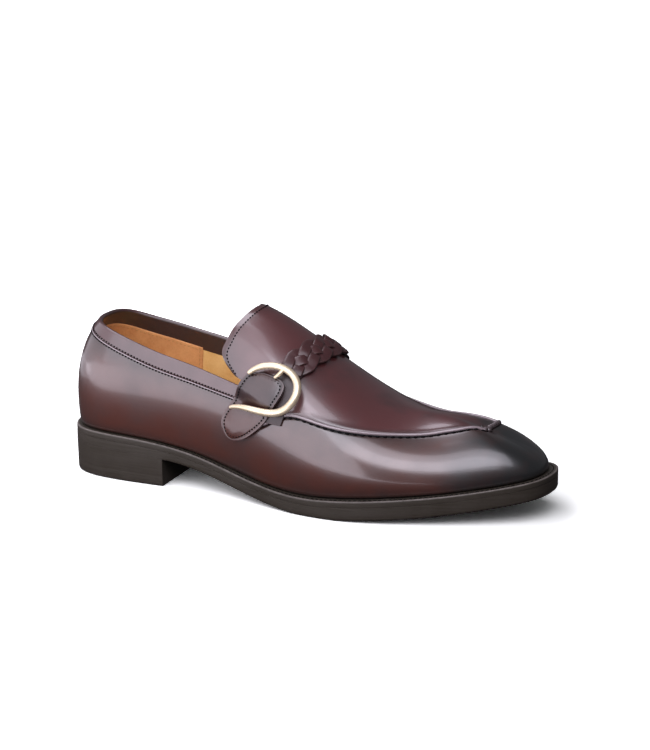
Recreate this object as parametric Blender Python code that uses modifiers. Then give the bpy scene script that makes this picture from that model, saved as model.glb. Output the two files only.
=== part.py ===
"""Strap loafer, right shoe: sole stack, lasted upper, tongue and strap hardware.

Axes: +X runs heel to toe, +Y to the inner (medial) side, +Z up, metres.
The heel block and a flat under the ball of the foot share the plane z = 0.
Every upper piece is a skin lifted off one form, the last, given by skin().
"""
import math

import bmesh
import bpy
import numpy as np
from mathutils import Vector

MM = 0.001

# --- named sizes (mm) -------------------------------------------------------
LENGTH = 302.0            # form, heel back to toe tip, before the heel is let out
HEEL_OUT = 2.4            # the heel end is let out backwards by this much,
HEEL_FADE = 150.0         # fading to nothing this far along
BALL_WIDTH = 103.2        # outsole, widest across the ball
INSTEP_HEIGHT = 118.2     # top of the last at the instep
HEEL_LENGTH = 67.2        # heel back to the flat breast, on the form
WELT_THICK = 3.5
WELT_INSET = 2.2          # how far the welt reaches under the upper
GAP = 0.3                 # clearance between neighbouring pieces
UPPER_WALL = 2.5
TONGUE_WALL = 2.8
INSOLE_TOP = 3.0          # insole surface above the feather line
INSOLE_INSET = 3.2
UPPER_MATERIAL_RIM = 0.3  # upper's lower edge above the welt
TOE_CENTRE = 4.5          # toe tip, shifted to the inner side
STRAP_THICK = 1.6
TAB_THICK = 2.4
BRAID_HALF_WIDTH = 9.0
BRAID_THICK = 4.6
WIRE_RADIUS = 2.25
PRONG_RADIUS = 1.2

# The tables below are for a 302 long, 103.2 wide, 118.2 high form; these carry
# them to the named sizes above.
SX = LENGTH / 302.0
SY = BALL_WIDTH / 103.2
SZ = INSTEP_HEIGHT / 118.2

# --- section tables ----------------------------------------------------------
# outsole outline: along, outer half width, inner half width
SOLE = np.array([
    (2.5, 12.5, 12.5), (9, 21.4, 21.6), (20, 27.2, 27.6), (38, 30.4, 31.0),
    (60, 31.4, 31.6), (82, 32.0, 30.6), (104, 35.2, 28.8), (126, 41.0, 28.8),
    (148, 47.0, 33.0), (170, 51.2, 40.0), (190, 51.8, 46.6), (208, 49.4, 50.6),
    (226, 44.8, 51.4), (244, 39.4, 49.2), (260, 33.8, 44.6), (275, 27.8, 38.0),
    (287, 21.6, 31.0), (295.5, 14.8, 23.8), (300.3, 6.4, 15.2)])
# welt showing outside the upper: along, outer, inner
WELT = np.array([
    (0, 2.6, 2.6), (60, 2.8, 2.4), (110, 3.6, 1.8), (160, 4.4, 2.6),
    (200, 4.8, 4.0), (250, 5.0, 4.8), (302, 5.4, 5.4)])
# feather line (upper meets welt) and edge thickness: along, height, thickness
EDGE = np.array([
    (0, 27.7, 9.0), (30, 27.8, 9.0), (60, 26.4, 8.7), (90, 21.8, 8.7),
    (120, 15.2, 9.1), (140, 11.9, 9.7), (160, 10.5, 10.6), (180, 11.3, 11.6),
    (200, 12.9, 11.9), (225, 15.2, 11.9), (250, 18.3, 11.7), (275, 22.4, 11.5),
    (302, 27.2, 11.3)])
# top line of the last by ring station: station, along, height
RIDGE = np.array([
    (0.00, 50, 116), (0.15, 62, 119), (0.30, 86, 118.2), (0.40, 112, 112.6),
    (0.48, 136.5, 102.4), (0.55, 160, 87), (0.65, 190, 66.5), (0.75, 215, 57.5),
    (0.88, 242, 55.3), (1.00, 258, 51.0)])
# section shape by ring station: station, outer lean and inner lean (degrees),
# wall fullness, top fullness
SECTION = np.array([
    (0.00, 5, 5, 0.52, 0.82), (0.12, 11, 11, 0.56, 0.84), (0.25, 12, 12, 0.58, 0.88),
    (0.40, 12, 12, 0.56, 0.82), (0.50, 16, 16, 0.49, 0.74), (0.60, 18, 18, 0.45, 0.71),
    (0.70, 16, 14, 0.42, 0.68), (0.85, 11, 10, 0.41, 0.70), (1.00, 1, 1, 0.48, 0.69)])
# collar line: along, outer height, inner height
COLLAR = np.array([
    (8, 97.6, 97.6), (18, 96.0, 94.6), (32, 92.8, 89.4), (48, 88.2, 85.6),
    (66, 82.8, 82.0), (86, 78.0, 78.4), (104, 73.6, 74.6), (122, 69.8, 70.4)])
# throat seam, where the tongue butts the vamp under the strap:
# rise up the section, station
THROAT = np.array([
    (0.405, 0.434), (0.47, 0.457), (0.54, 0.4775), (0.61, 0.4925), (0.70, 0.5075),
    (0.80, 0.5225), (0.90, 0.5345), (1.00, 0.543)])
# rear edge of the tongue: rise up the section, station
TONGUE = np.array([
    (0.42, 0.434), (0.45, 0.417), (0.49, 0.403), (0.53, 0.399), (0.58, 0.401),
    (0.66, 0.4045), (0.76, 0.4105), (0.88, 0.4165), (1.00, 0.4185)])
# plaited strap over the instep: it lies along a plane that crosses the top line at
# station BRAID_STATION; its ends are cut at these rises (rear edge, front edge; past
# 1 is the inner side)
BRAID_STATION = 0.546
BRAID_FORWARD = np.array([0.82, -0.10, -0.57])
BRAID_OUTER_END = (0.725, 0.650)
BRAID_INNER_END = (1.49, 1.48)
# hook buckle centre line in its own plane: forward, up
HOOK = np.array([
    (-10.4, 3.4), (-8.2, 7.9), (-3.4, 12.1), (3.0, 14.5), (9.6, 14.6), (15.8, 12.4),
    (20.2, 8.2), (21.9, 3.0), (20.9, -2.2), (17.2, -6.3), (11.6, -9.0), (4.2, -11.2),
    (-3.0, -13.2), (-8.4, -15.6), (-11.0, -17.6)])
# strap end outline over the buckle, from its top edge down: left across and up,
# right across and up
TAB = np.array([
    (-3.0, 8.0, 5.0, 9.6), (-7.6, 6.4, 9.6, 8.6), (-11.0, 4.2, 12.0, 6.2),
    (-12.4, 0.4, 13.2, 2.0), (-13.1, -4.6, 13.2, -3.2), (-13.4, -10.0, 12.6, -8.3),
    (-13.8, -14.7, 11.7, -13.6), (-14.8, -20.0, 10.2, -19.0), (-15.4, -25.4, 7.4, -24.6),
    (-14.0, -30.2, 3.9, -29.6), (-10.8, -33.4, -0.4, -33.2), (-7.4, -34.7, -4.2, -34.7)])


# --- small maths --------------------------------------------------------------
def natural_spline(xs, ys):
    """Cubic through the rows, carried on straight beyond both ends."""
    xs = np.asarray(xs, float)
    ys = np.asarray(ys, float)
    n = len(xs)
    h = np.diff(xs)
    grid = np.eye(n)
    right = np.zeros(n)
    for i in range(1, n - 1):
        grid[i, i - 1:i + 2] = h[i - 1], 2 * (h[i - 1] + h[i]), h[i]
        right[i] = 6 * ((ys[i + 1] - ys[i]) / h[i] - (ys[i] - ys[i - 1]) / h[i - 1])
    bend = np.linalg.solve(grid, right)
    first = (ys[1] - ys[0]) / h[0] - h[0] * bend[1] / 6
    last = (ys[-1] - ys[-2]) / h[-1] + h[-1] * bend[-2] / 6

    def value(q):
        q = np.asarray(q, float)
        i = np.clip(np.searchsorted(xs, q) - 1, 0, n - 2)
        d = q - xs[i]
        e = xs[i + 1] - q
        step = h[i]
        r = (bend[i] * e ** 3 + bend[i + 1] * d ** 3) / (6 * step)
        r = r + (ys[i] / step - bend[i] * step / 6) * e
        r = r + (ys[i + 1] / step - bend[i + 1] * step / 6) * d
        r = np.where(q < xs[0], ys[0] + first * (q - xs[0]), r)
        return np.where(q > xs[-1], ys[-1] + last * (q - xs[-1]), r)
    return value


def ring_spline(ts, ys, period):
    """Closed cubic through the rows."""
    ts = np.asarray(ts, float)
    ys = np.asarray(ys, float)
    n = len(ts)
    h = np.diff(np.append(ts, ts[0] + period))
    grid = np.zeros((n, n))
    right = np.zeros(n)
    for i in range(n):
        back, ahead = h[i - 1], h[i]
        grid[i, i - 1] += back
        grid[i, i] += 2 * (back + ahead)
        grid[i, (i + 1) % n] += ahead
        right[i] = 6 * ((ys[(i + 1) % n] - ys[i]) / ahead - (ys[i] - ys[i - 1]) / back)
    bend = np.linalg.solve(grid, right)

    def value(q):
        q = (np.asarray(q, float) - ts[0]) % period + ts[0]
        i = np.clip(np.searchsorted(ts, q, side="right") - 1, 0, n - 1)
        j = (i + 1) % n
        d = q - ts[i]
        e = h[i] - d
        r = (bend[i] * e ** 3 + bend[j] * d ** 3) / (6 * h[i])
        return r + (ys[i] / h[i] - bend[i] * h[i] / 6) * e + (ys[j] / h[i] - bend[j] * h[i] / 6) * d
    return value


def even_spline(table, column, scale=1.0):
    """Spline over the folded station, level where it turns at the heel and toe."""
    a = table[:, 0]
    v = table[:, column] * scale
    return ring_spline(np.concatenate([a, 2 - a[-2:0:-1]]), np.concatenate([v, v[-2:0:-1]]), 2.0)


# --- outline of the sole --------------------------------------------------------
# A ring station k runs 0 at the heel, up the outer side to 1 at the toe, and back
# down the inner side to 2.
def along(k):
    return LENGTH / 2 * (1 - np.cos(np.pi * np.asarray(k, float)))


def station_at(x):
    return np.arccos(np.clip(1 - 2 * np.asarray(x, float) / LENGTH, -1, 1)) / np.pi


def outline_spline():
    ks = station_at(SOLE[:, 0] * SX)
    ks = np.concatenate([[0], ks, [1], 2 - ks[::-1]])
    ys = np.concatenate([[0], -SOLE[:, 1], [TOE_CENTRE], SOLE[::-1, 2]]) * SY
    return ring_spline(ks, ys, 2.0)


OUTLINE = outline_spline()
WELT_OUTER = natural_spline(WELT[:, 0] * SX, WELT[:, 1])
WELT_INNER = natural_spline(WELT[:, 0] * SX, WELT[:, 2])
FEATHER_Z = natural_spline(EDGE[:, 0] * SX, EDGE[:, 1])
EDGE_THICK = natural_spline(EDGE[:, 0] * SX, EDGE[:, 2])
RIDGE_X = even_spline(RIDGE, 1, SX)
RIDGE_Z = even_spline(RIDGE, 2, SZ)
LEAN_OUTER, LEAN_INNER, WALL_FULL, TOP_FULL = [even_spline(SECTION, i) for i in (1, 2, 3, 4)]
THROAT_RISE = np.interp(np.arange(15) / 2, np.arange(8), THROAT[:, 0])
SWEEP = np.linspace(0, 2, 801)
CENTRE_Y = (OUTLINE(SWEEP).min() + OUTLINE(SWEEP).max()) / 2


def fold(k):
    """Station on the outer side matching k, and which side k is on."""
    k = np.asarray(k, float) % 2
    return np.where(k <= 1, k, 2 - k), np.where(k <= 1, -1.0, 1.0)


def by_side(k, outer, inner):
    """Outer and inner values, eased into each other round the heel and toe."""
    a, side = fold(k)
    turn = np.clip(np.sin(np.pi * a) / 0.25, 0, 1)
    share = 0.5 * (1 + side * (1.5 * turn - 0.5 * turn ** 3))
    return outer * (1 - share) + inner * share


def ring_xy(k, inset=0.0):
    """Outsole outline in plan, moved inwards by inset."""
    e = 1e-4
    p = np.stack([along(k), OUTLINE(k)], -1)
    q = np.stack([along(k + e) - along(k - e), OUTLINE(k + e) - OUTLINE(k - e)], -1)
    q /= np.linalg.norm(q, axis=-1, keepdims=True)
    inward = np.stack([-q[..., 1], q[..., 0]], -1)
    return p + inward * np.asarray(inset)[..., None]


def welt_show(k):
    x = along(k)
    return by_side(k, WELT_OUTER(x), WELT_INNER(x))


def outsole_bottom(x):
    return np.maximum(FEATHER_Z(x) - EDGE_THICK(x), 0.0)


# --- the last -------------------------------------------------------------------
def ridge_slope(a):
    """Fall of the top line; at the two turning ends it is taken just inside."""
    a = np.clip(a, 0.02, 0.98)
    e = 1e-3
    return (RIDGE_Z(a + e) - RIDGE_Z(a - e)) / (RIDGE_X(a + e) - RIDGE_X(a - e))


def form(k, t):
    """Point of the last: t climbs the section from feather line 0 to ridge 1, and
    past 1 comes down the other side."""
    k = np.asarray(k, float)
    t = np.asarray(t, float)
    k = np.where(t > 1, -k, k) % 2
    t = np.where(t > 1, 2 - t, t)
    a, _ = fold(k)
    foot = ring_xy(k, welt_show(k))
    e = 1e-4
    run = ring_xy(k + e, welt_show(k + e)) - ring_xy(k - e, welt_show(k - e))
    run /= np.linalg.norm(run, axis=-1, keepdims=True)
    out = np.stack([run[..., 1], -run[..., 0]], -1)
    foot = np.concatenate([foot, FEATHER_Z(foot[..., 0])[..., None]], -1)
    top = np.stack([RIDGE_X(a), 0 * a, RIDGE_Z(a)], -1)
    lean = np.radians(by_side(k, LEAN_OUTER(a), LEAN_INNER(a)))
    rise = (top[..., 2] - foot[..., 2]) * WALL_FULL(a)
    wall = np.concatenate([out * np.sin(lean)[..., None], np.cos(lean)[..., None]], -1)
    low = foot + rise[..., None] * wall
    slope = ridge_slope(a)
    flat = foot[..., :2] - top[..., :2]
    reach = np.concatenate([flat, (slope * flat[..., 0])[..., None]], -1)
    high = top + TOP_FULL(a)[..., None] * reach
    t = t[..., None]
    return (1 - t) ** 3 * foot + 3 * (1 - t) ** 2 * t * low + 3 * (1 - t) * t ** 2 * high + t ** 3 * top


def skin(k, t, lift=0.0):
    """The last's surface moved out along its normal."""
    e = 5e-4
    k = np.asarray(k, float)
    t = np.asarray(t, float)
    p = form(k, t)
    round_about = form(k + e, t) - form(k - e, t)
    upward = form(k, t + e) - form(k, t - e)
    n = np.cross(round_about, upward)
    a, _ = fold(k)
    slope = ridge_slope(a)
    crest = np.stack([-slope, 0 * a, 1 + 0 * a], -1)
    n = np.where((np.abs(t - 1) < 2e-3)[..., None], crest, n)
    n /= np.linalg.norm(n, axis=-1, keepdims=True)
    return p + n * np.asarray(lift)[..., None]


class Patch:
    """A flat drawing area, in millimetres, laid on the last at one point."""

    def __init__(self, k, t):
        e = 1e-3
        self.start = (k, t)
        self.origin = form(k, t)
        u = form(k + e, t) - form(k - e, t)
        v = form(k, t + e) - form(k, t - e)
        n = np.cross(u, v)
        self.u = u / np.linalg.norm(u)
        self.n = n / np.linalg.norm(n)
        self.v = np.cross(self.n, self.u)

    def stations(self, p, q):
        """Ring station and rise under drawing point (p, q)."""
        p = np.asarray(p, float)
        q = np.asarray(q, float)
        k = np.full(p.shape, self.start[0])
        t = np.full(p.shape, self.start[1])
        e = 1e-4
        for _ in range(14):
            here = form(k, t) - self.origin
            dk = (form(k + e, t) - form(k - e, t)) / (2 * e)
            dt = (form(k, t + e) - form(k, t - e)) / (2 * e)
            a, b = dk @ self.u, dt @ self.u
            c, d = dk @ self.v, dt @ self.v
            r = p - here @ self.u
            s = q - here @ self.v
            det = a * d - b * c
            k = k + np.clip((r * d - b * s) / det, -0.05, 0.05)
            t = t + np.clip((a * s - c * r) / det, -0.15, 0.15)
        return k, t

    def points(self, p, q, lift):
        k, t = self.stations(p, q)
        return skin(k, t, lift)


OUTER_PATCH = Patch(0.470, 0.46)
INNER_PATCH = Patch(2 - 0.488, 0.395)


# --- mesh helpers ---------------------------------------------------------------
def material(name, colour, roughness, metallic=0.0):
    made = bpy.data.materials.new(name)
    made.use_nodes = True
    shader = made.node_tree.nodes["Principled BSDF"]
    shader.inputs["Base Color"].default_value = (*colour, 1.0)
    shader.inputs["Roughness"].default_value = roughness
    shader.inputs["Metallic"].default_value = metallic
    made.diffuse_color = (*colour, 1.0)
    return made


def let_out(x):
    """Distance along the form, with the heel end let out backwards."""
    return x - HEEL_OUT * np.clip(1 - x / HEEL_FADE, 0, None)


def placed(x, y):
    """Form distances (mm) moved so that the shoe stands centred on the origin."""
    return let_out(x) - (LENGTH - HEEL_OUT) / 2, y - CENTRE_Y


def add_object(name, mesh, made, group="loafer"):
    piece = bpy.data.objects.new(name, mesh)
    bpy.data.collections[group].objects.link(piece)
    piece.data.materials.append(made)
    return piece


def finish(name, bm, made, smooth=True):
    """Weld, face outwards, move to the shared origin and add to the scene."""
    bmesh.ops.remove_doubles(bm, verts=bm.verts, dist=2e-6)
    bmesh.ops.dissolve_degenerate(bm, edges=bm.edges, dist=1e-6)
    bmesh.ops.recalc_face_normals(bm, faces=bm.faces)
    for vert in bm.verts:
        x, y = placed(vert.co.x / MM, vert.co.y / MM)
        vert.co = (x * MM, y * MM, vert.co.z)
    for face in bm.faces:
        face.smooth = smooth
    mesh = bpy.data.meshes.new(name)
    bm.to_mesh(mesh)
    bm.free()
    return add_object(name, mesh, made)


def add_rows(bm, rows):
    """One vertex per point of a rows x columns x 3 array given in millimetres."""
    return [[bm.verts.new(Vector([float(c) * MM for c in p])) for p in row] for row in rows]


def bridge_rows(bm, verts, closed_rows=False, closed_columns=False):
    """Quads between neighbouring rows."""
    count = len(verts)
    width = len(verts[0])
    for i in range(count if closed_rows else count - 1):
        one, two = verts[i], verts[(i + 1) % count]
        for j in range(width if closed_columns else width - 1):
            n = (j + 1) % width
            bm.faces.new((one[j], one[n], two[n], two[j]))


def ring_stations(half):
    """Stations 0..1 out and back, so both sides share the same sections."""
    return np.concatenate([half, 2 - half[-2:0:-1]])


def cap_ring(bm, ring):
    """Close a ring whose entries i and -i are the two sides of one section."""
    n = len(ring)
    for i in range(n // 2):
        loop = [ring[i], ring[i + 1], ring[(-i - 1) % n], ring[-i % n]]
        loop = [v for j, v in enumerate(loop) if v not in loop[:j]]
        if len(loop) > 2:
            bm.faces.new(loop)


def stack(name, rings, made, hollow=False):
    """Body through closed rings, capped at both ends or closed on itself."""
    bm = bmesh.new()
    verts = add_rows(bm, rings)
    bridge_rows(bm, verts, closed_rows=hollow, closed_columns=True)
    if not hollow:
        cap_ring(bm, verts[0])
        cap_ring(bm, verts[-1])
    return finish(name, bm, made)


def ring_at(k, inset, height):
    """Ring at an inset from the outsole outline; height is a function of x."""
    p = ring_xy(k, inset)
    return np.concatenate([p, height(p[:, 0])[:, None]], -1)


def slab(name, k, t, low, high, made, rounding=0.0):
    """Closed skin of even thickness over a rows x columns grid of stations."""
    bm = bmesh.new()
    under = add_rows(bm, skin(k, t, low))
    over = add_rows(bm, skin(k, t, high))
    bridge_rows(bm, under)
    bridge_rows(bm, over)

    def border(grid):
        sides = [row[-1] for row in grid[1:-1]]
        back = [row[0] for row in grid[1:-1]]
        return grid[0] + sides + grid[-1][::-1] + back[::-1]
    bridge_rows(bm, [border(under), border(over)], closed_columns=True)
    piece = finish(name, bm, made)
    if rounding:
        bevel = piece.modifiers.new("edge", "BEVEL")
        bevel.width = rounding * MM
        bevel.segments = 2
        bevel.limit_method = "ANGLE"
        bevel.angle_limit = math.radians(50)
    return piece


def wire(name, path, radius, made, group="loafer"):
    """Round wire with capped ends, through a list of points (mm) and radii."""
    curve = bpy.data.curves.new(name, "CURVE")
    curve.dimensions = "3D"
    curve.bevel_depth = MM
    curve.bevel_resolution = 2
    curve.use_fill_caps = True
    line = curve.splines.new("POLY")
    line.points.add(len(path) - 1)
    for point, place, size in zip(line.points, path, radius):
        shifted = np.array([*placed(place[0], place[1]), place[2]]) * MM
        point.co = (*shifted, 1.0)
        point.radius = size
    drawn = bpy.data.objects.new(name + "_path", curve)
    bpy.data.collections["loafer"].objects.link(drawn)
    shape = bpy.data.meshes.new_from_object(drawn.evaluated_get(bpy.context.evaluated_depsgraph_get()))
    bpy.data.objects.remove(drawn)
    bm = bmesh.new()
    bm.from_mesh(shape)
    bmesh.ops.remove_doubles(bm, verts=bm.verts, dist=2e-6)
    bmesh.ops.recalc_face_normals(bm, faces=bm.faces)
    for face in bm.faces:
        face.smooth = True
    mesh = bpy.data.meshes.new(name)
    bm.to_mesh(mesh)
    bm.free()
    return add_object(name, mesh, made, group)


# --- pieces -----------------------------------------------------------------------
def build_sole(leather, edge, inner):
    half = np.linspace(0, 1, 45)
    k = ring_stations(half)

    def outsole_top(x):
        return FEATHER_Z(x) - WELT_THICK - GAP
    flat = np.zeros(len(k))
    stack("outsole", [
        ring_at(k, flat, outsole_top),
        ring_at(k, flat, lambda x: outsole_bottom(x) + 1.2),
        ring_at(k, flat + 1.0, outsole_bottom)], edge)

    reach = float(station_at(HEEL_LENGTH * SX))
    n = 15
    turn = reach * np.sin(np.linspace(0, math.pi / 2, n + 1))
    k_heel = np.concatenate([turn, -turn[:0:-1]])
    flat = np.zeros(len(k_heel))
    rows = [
        ring_at(k_heel, flat + 0.2, lambda x: outsole_bottom(x) - GAP),
        ring_at(k_heel, flat + 0.5, lambda x: 0 * x + 0.9),
        ring_at(k_heel, flat + 1.1, lambda x: 0 * x)]
    for row in rows:
        row[[n, n + 1], 0] = HEEL_LENGTH * SX
    stack("heel", rows, edge)

    flat = np.zeros(len(k))
    show = welt_show(k)

    def welt_bottom(x):
        return FEATHER_Z(x) - WELT_THICK
    stack("welt", [
        ring_at(k, show + WELT_INSET, welt_bottom),
        ring_at(k, flat, welt_bottom),
        ring_at(k, flat - 0.0, lambda x: FEATHER_Z(x) - 0.8),
        ring_at(k, flat + 0.8, FEATHER_Z),
        ring_at(k, show + WELT_INSET, FEATHER_Z)], leather, hollow=True)

    show = show + INSOLE_INSET
    stack("insole", [
        ring_at(k, show, welt_bottom),
        ring_at(k, show, lambda x: FEATHER_Z(x) + INSOLE_TOP - 0.6),
        ring_at(k, show + 0.8, lambda x: FEATHER_Z(x) + INSOLE_TOP)], inner)


def upper_top(k):
    """How far up its section the upper reaches at station k."""
    a, _ = fold(k)
    throat = np.interp(a, THROAT[:, 1], THROAT[:, 0])
    outer, inner = [natural_spline(COLLAR[:, 0], COLLAR[:, i]) for i in (1, 2)]
    low = np.zeros(a.shape)
    high = np.where(a < THROAT[0, 1], 0.8, THROAT[0, 0])
    for _ in range(24):
        rise = (low + high) / 2
        p = form(k, rise)
        over = p[..., 2] > by_side(k, outer(p[..., 0]), inner(p[..., 0]))
        high = np.where(over, rise, high)
        low = np.where(over, low, rise)
    return np.where(a < THROAT[0, 1] - 1e-6, high, throat)


def build_upper(leather):
    throat = np.interp(THROAT_RISE, THROAT[:, 0], THROAT[:, 1])
    half = np.concatenate([
        np.linspace(0, throat[0], 20), throat[1:], np.linspace(throat[-1], 1, 20)[1:]])
    k = ring_stations(half)
    share = np.linspace(0, 1, 13)
    top = upper_top(k)
    start = UPPER_MATERIAL_RIM / (FEATHER_Z(along(k)) + 60)
    t = start[None, :] + share[:, None] * (top - start)[None, :]
    k = np.broadcast_to(k, t.shape)
    outer = skin(k, t, 0.0)
    inner = skin(k, t, -UPPER_WALL)
    foot = FEATHER_Z(outer[0, :, 0]) + UPPER_MATERIAL_RIM
    outer[0, :, 2] = foot
    inner[0, :, 2] = foot
    bm = bmesh.new()
    outer = add_rows(bm, outer)
    inner = add_rows(bm, inner)
    bridge_rows(bm, outer, closed_columns=True)
    bridge_rows(bm, inner, closed_columns=True)
    bridge_rows(bm, [outer[0], inner[0]], closed_columns=True)
    n = len(outer[0])
    for j in range(n):
        a, _ = fold(k[0, j])
        b, _ = fold(k[0, (j + 1) % n])
        m = (j + 1) % n
        if min(a, b) < THROAT[-1, 1] - 1e-6:
            bm.faces.new((outer[-1][j], outer[-1][m], inner[-1][m], inner[-1][j]))
    return finish("upper", bm, leather)


def build_tongue(leather):
    rise = THROAT_RISE[1:]
    rise = np.concatenate([rise, 2 - rise[-2::-1]])
    up = np.where(rise > 1, 2 - rise, rise)
    over = np.concatenate([TONGUE[:, 0], 2 - TONGUE[-2::-1, 0]])
    rear = natural_spline(over, np.concatenate([TONGUE[:, 1], TONGUE[-2::-1, 1]]))(rise)
    front = np.interp(up, THROAT[:, 0], THROAT[:, 1]) - 0.0012
    share = np.linspace(0, 1, 9)
    k = rear[:, None] + share[None, :] * (front - rear)[:, None]
    t = np.broadcast_to(rise[:, None], k.shape)
    return slab("tongue", k, t, -TONGUE_WALL, 0.0, leather)


def build_straps(leather, dark):
    # strap end over the buckle
    across = np.linspace(0, 1, 9)
    p, q = [TAB[:, i, None] + (TAB[:, i + 2] - TAB[:, i])[:, None] * across for i in (0, 1)]
    k, t = OUTER_PATCH.stations(p, q)
    ramp = np.clip((q + 31) / 11, 0, 1)
    lift = 0.3 + 2.0 * ramp ** 2 * (3 - 2 * ramp)
    slab("strap_end", k, t, lift, lift + TAB_THICK, leather, 0.5)
    # flat strap underneath, from the plait to the apron seam
    u, v = np.meshgrid(np.linspace(0, 1, 6), np.linspace(0, 1, 9))
    corners = np.array([(1.0, 20.6), (17.2, 14.2), (8.5, -17.0), (21.0, -12.6)])
    p, q = [(1 - v) * ((1 - u) * c[0] + u * c[1]) + v * ((1 - u) * c[2] + u * c[3]) for c in corners.T]
    k, t = OUTER_PATCH.stations(p, q)
    slab("under_strap", k, t, 0.3, 0.3 + STRAP_THICK, dark, 0.4)
    # the same strap sewn down on the inner side
    u = np.linspace(-13.0, 13.0, 7)
    v = np.linspace(-7.5, 7.5, 6)
    p, q = np.meshgrid(u, v)
    k, t = INNER_PATCH.stations(p, q)
    slab("inner_strap", k, t, 0.3, 0.3 + TAB_THICK, dark, 0.5)


def strap_stations(rise, reach):
    """Station, at a rise, that lies reach (mm) ahead of the strap's middle plane."""
    forward = BRAID_FORWARD / np.linalg.norm(BRAID_FORWARD)
    middle = form(BRAID_STATION, 1.0) @ forward
    k = np.full(rise.shape, BRAID_STATION)
    e = 1e-4
    for _ in range(12):
        miss = form(k, rise) @ forward - middle - reach
        rate = (form(k + e, rise) - form(k - e, rise)) @ forward / (2 * e)
        k = k - np.clip(miss / rate, -0.03, 0.03)
    return k


def build_braid(leather):
    step, share = np.meshgrid(np.linspace(0, 1, 27), np.linspace(-1, 1, 9), indexing="ij")
    near = np.interp(share, (-1, 1), BRAID_OUTER_END)
    far = np.interp(share, (-1, 1), BRAID_INNER_END)
    t = near + (far - near) * step
    k = strap_stations(t, BRAID_HALF_WIDTH * share)
    crown = BRAID_THICK * (0.35 + 0.65 * np.sqrt(1 - 0.97 * share ** 2))
    high = 0.35 + crown
    slab("braid", k, t, 0.35, high, leather)


def build_buckle(metal):
    row = np.linspace(0, 1, len(HOOK))
    steps = np.linspace(0, 1, 41)
    p = natural_spline(row, HOOK[:, 0])(steps)
    q = natural_spline(row, HOOK[:, 1])(steps)
    lift = 0.3 + STRAP_THICK + 0.3 + TAB_THICK + 0.3 + WIRE_RADIUS
    path = OUTER_PATCH.points(p, q, np.full(p.shape, lift))
    size = WIRE_RADIUS * np.interp(steps, (0, 0.1, 0.25, 0.5, 0.75, 0.87, 1.0),
                                   (0.58, 0.8, 0.92, 1.04, 0.98, 0.74, 0.45))
    buckle = wire("buckle", path, size, metal)
    # short prong standing inside the hook, joined to it
    p = np.array([5.4, 5.6, 5.4, 4.7, 3.8])
    q = np.array([14.7, 12.8, 10.9, 9.4, 8.6])
    path = OUTER_PATCH.points(p, q, lift + np.array([0, 0.3, 0.2, -0.4, -1.2]))
    prong = wire("prong", path, PRONG_RADIUS * np.array([0.9, 1, 1, 0.95, 0.8]), metal, "cutters")
    prong.hide_render = True
    prong.display_type = "WIRE"
    join = buckle.modifiers.new("prong", "BOOLEAN")
    join.operation = "UNION"
    join.solver = "EXACT"
    join.object = prong


def main():
    for old in list(bpy.data.objects):
        bpy.data.objects.remove(old)
    for name in ("loafer", "cutters"):
        group = bpy.data.collections.new(name)
        bpy.context.scene.collection.children.link(group)
    calf = material("burnished_calf", (0.085, 0.030, 0.026), 0.32)
    dark = material("dark_calf", (0.040, 0.018, 0.017), 0.4)
    edge = material("sole_edge", (0.030, 0.024, 0.022), 0.45)
    lining = material("lining_leather", (0.50, 0.25, 0.09), 0.6)
    gold = material("pale_gold", (0.86, 0.74, 0.52), 0.18, 1.0)
    build_sole(edge, edge, lining)
    build_upper(calf)
    build_tongue(calf)
    build_straps(calf, dark)
    build_braid(dark)
    build_buckle(gold)


main()
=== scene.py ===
"""Strap loafer, right shoe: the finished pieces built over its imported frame.

+X runs heel to toe, +Y to the inner (medial) side, +Z up. Shapes are worked out in
millimetres on one form, the last, and land in the frame in metres. A ring station k
runs 0 at the heel, up the outer side to 1 at the toe, and back down the inner side to
2; a rise t climbs each section from the feather line 0 to the top line 1.
"""
import math

import bmesh
import bpy
import numpy as np
from bpy.props import FloatProperty, FloatVectorProperty, IntProperty, PointerProperty
from mathutils import Matrix, Vector


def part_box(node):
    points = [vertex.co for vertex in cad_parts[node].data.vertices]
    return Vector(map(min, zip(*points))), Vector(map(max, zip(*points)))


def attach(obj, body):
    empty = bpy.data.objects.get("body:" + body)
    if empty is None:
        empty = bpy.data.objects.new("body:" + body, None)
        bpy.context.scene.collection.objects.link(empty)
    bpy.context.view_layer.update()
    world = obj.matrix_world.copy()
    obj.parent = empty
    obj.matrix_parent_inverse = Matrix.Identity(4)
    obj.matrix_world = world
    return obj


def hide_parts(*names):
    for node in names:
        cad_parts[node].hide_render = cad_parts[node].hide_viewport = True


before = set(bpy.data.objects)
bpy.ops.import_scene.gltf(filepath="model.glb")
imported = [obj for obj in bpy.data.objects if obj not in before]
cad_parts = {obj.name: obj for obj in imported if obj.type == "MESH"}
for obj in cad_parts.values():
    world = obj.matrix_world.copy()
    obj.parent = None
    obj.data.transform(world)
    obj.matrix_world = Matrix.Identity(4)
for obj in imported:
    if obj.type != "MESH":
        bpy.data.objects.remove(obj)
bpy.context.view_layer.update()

bl_info = {
    "name": "Strap Loafer",
    "version": (1, 0, 0),
    "blender": (4, 5, 0),
    "location": "3D View > Sidebar > Loafer",
    "description": "Builds the finished pieces of a strap loafer over its packed frame",
    "category": "Object",
}

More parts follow.
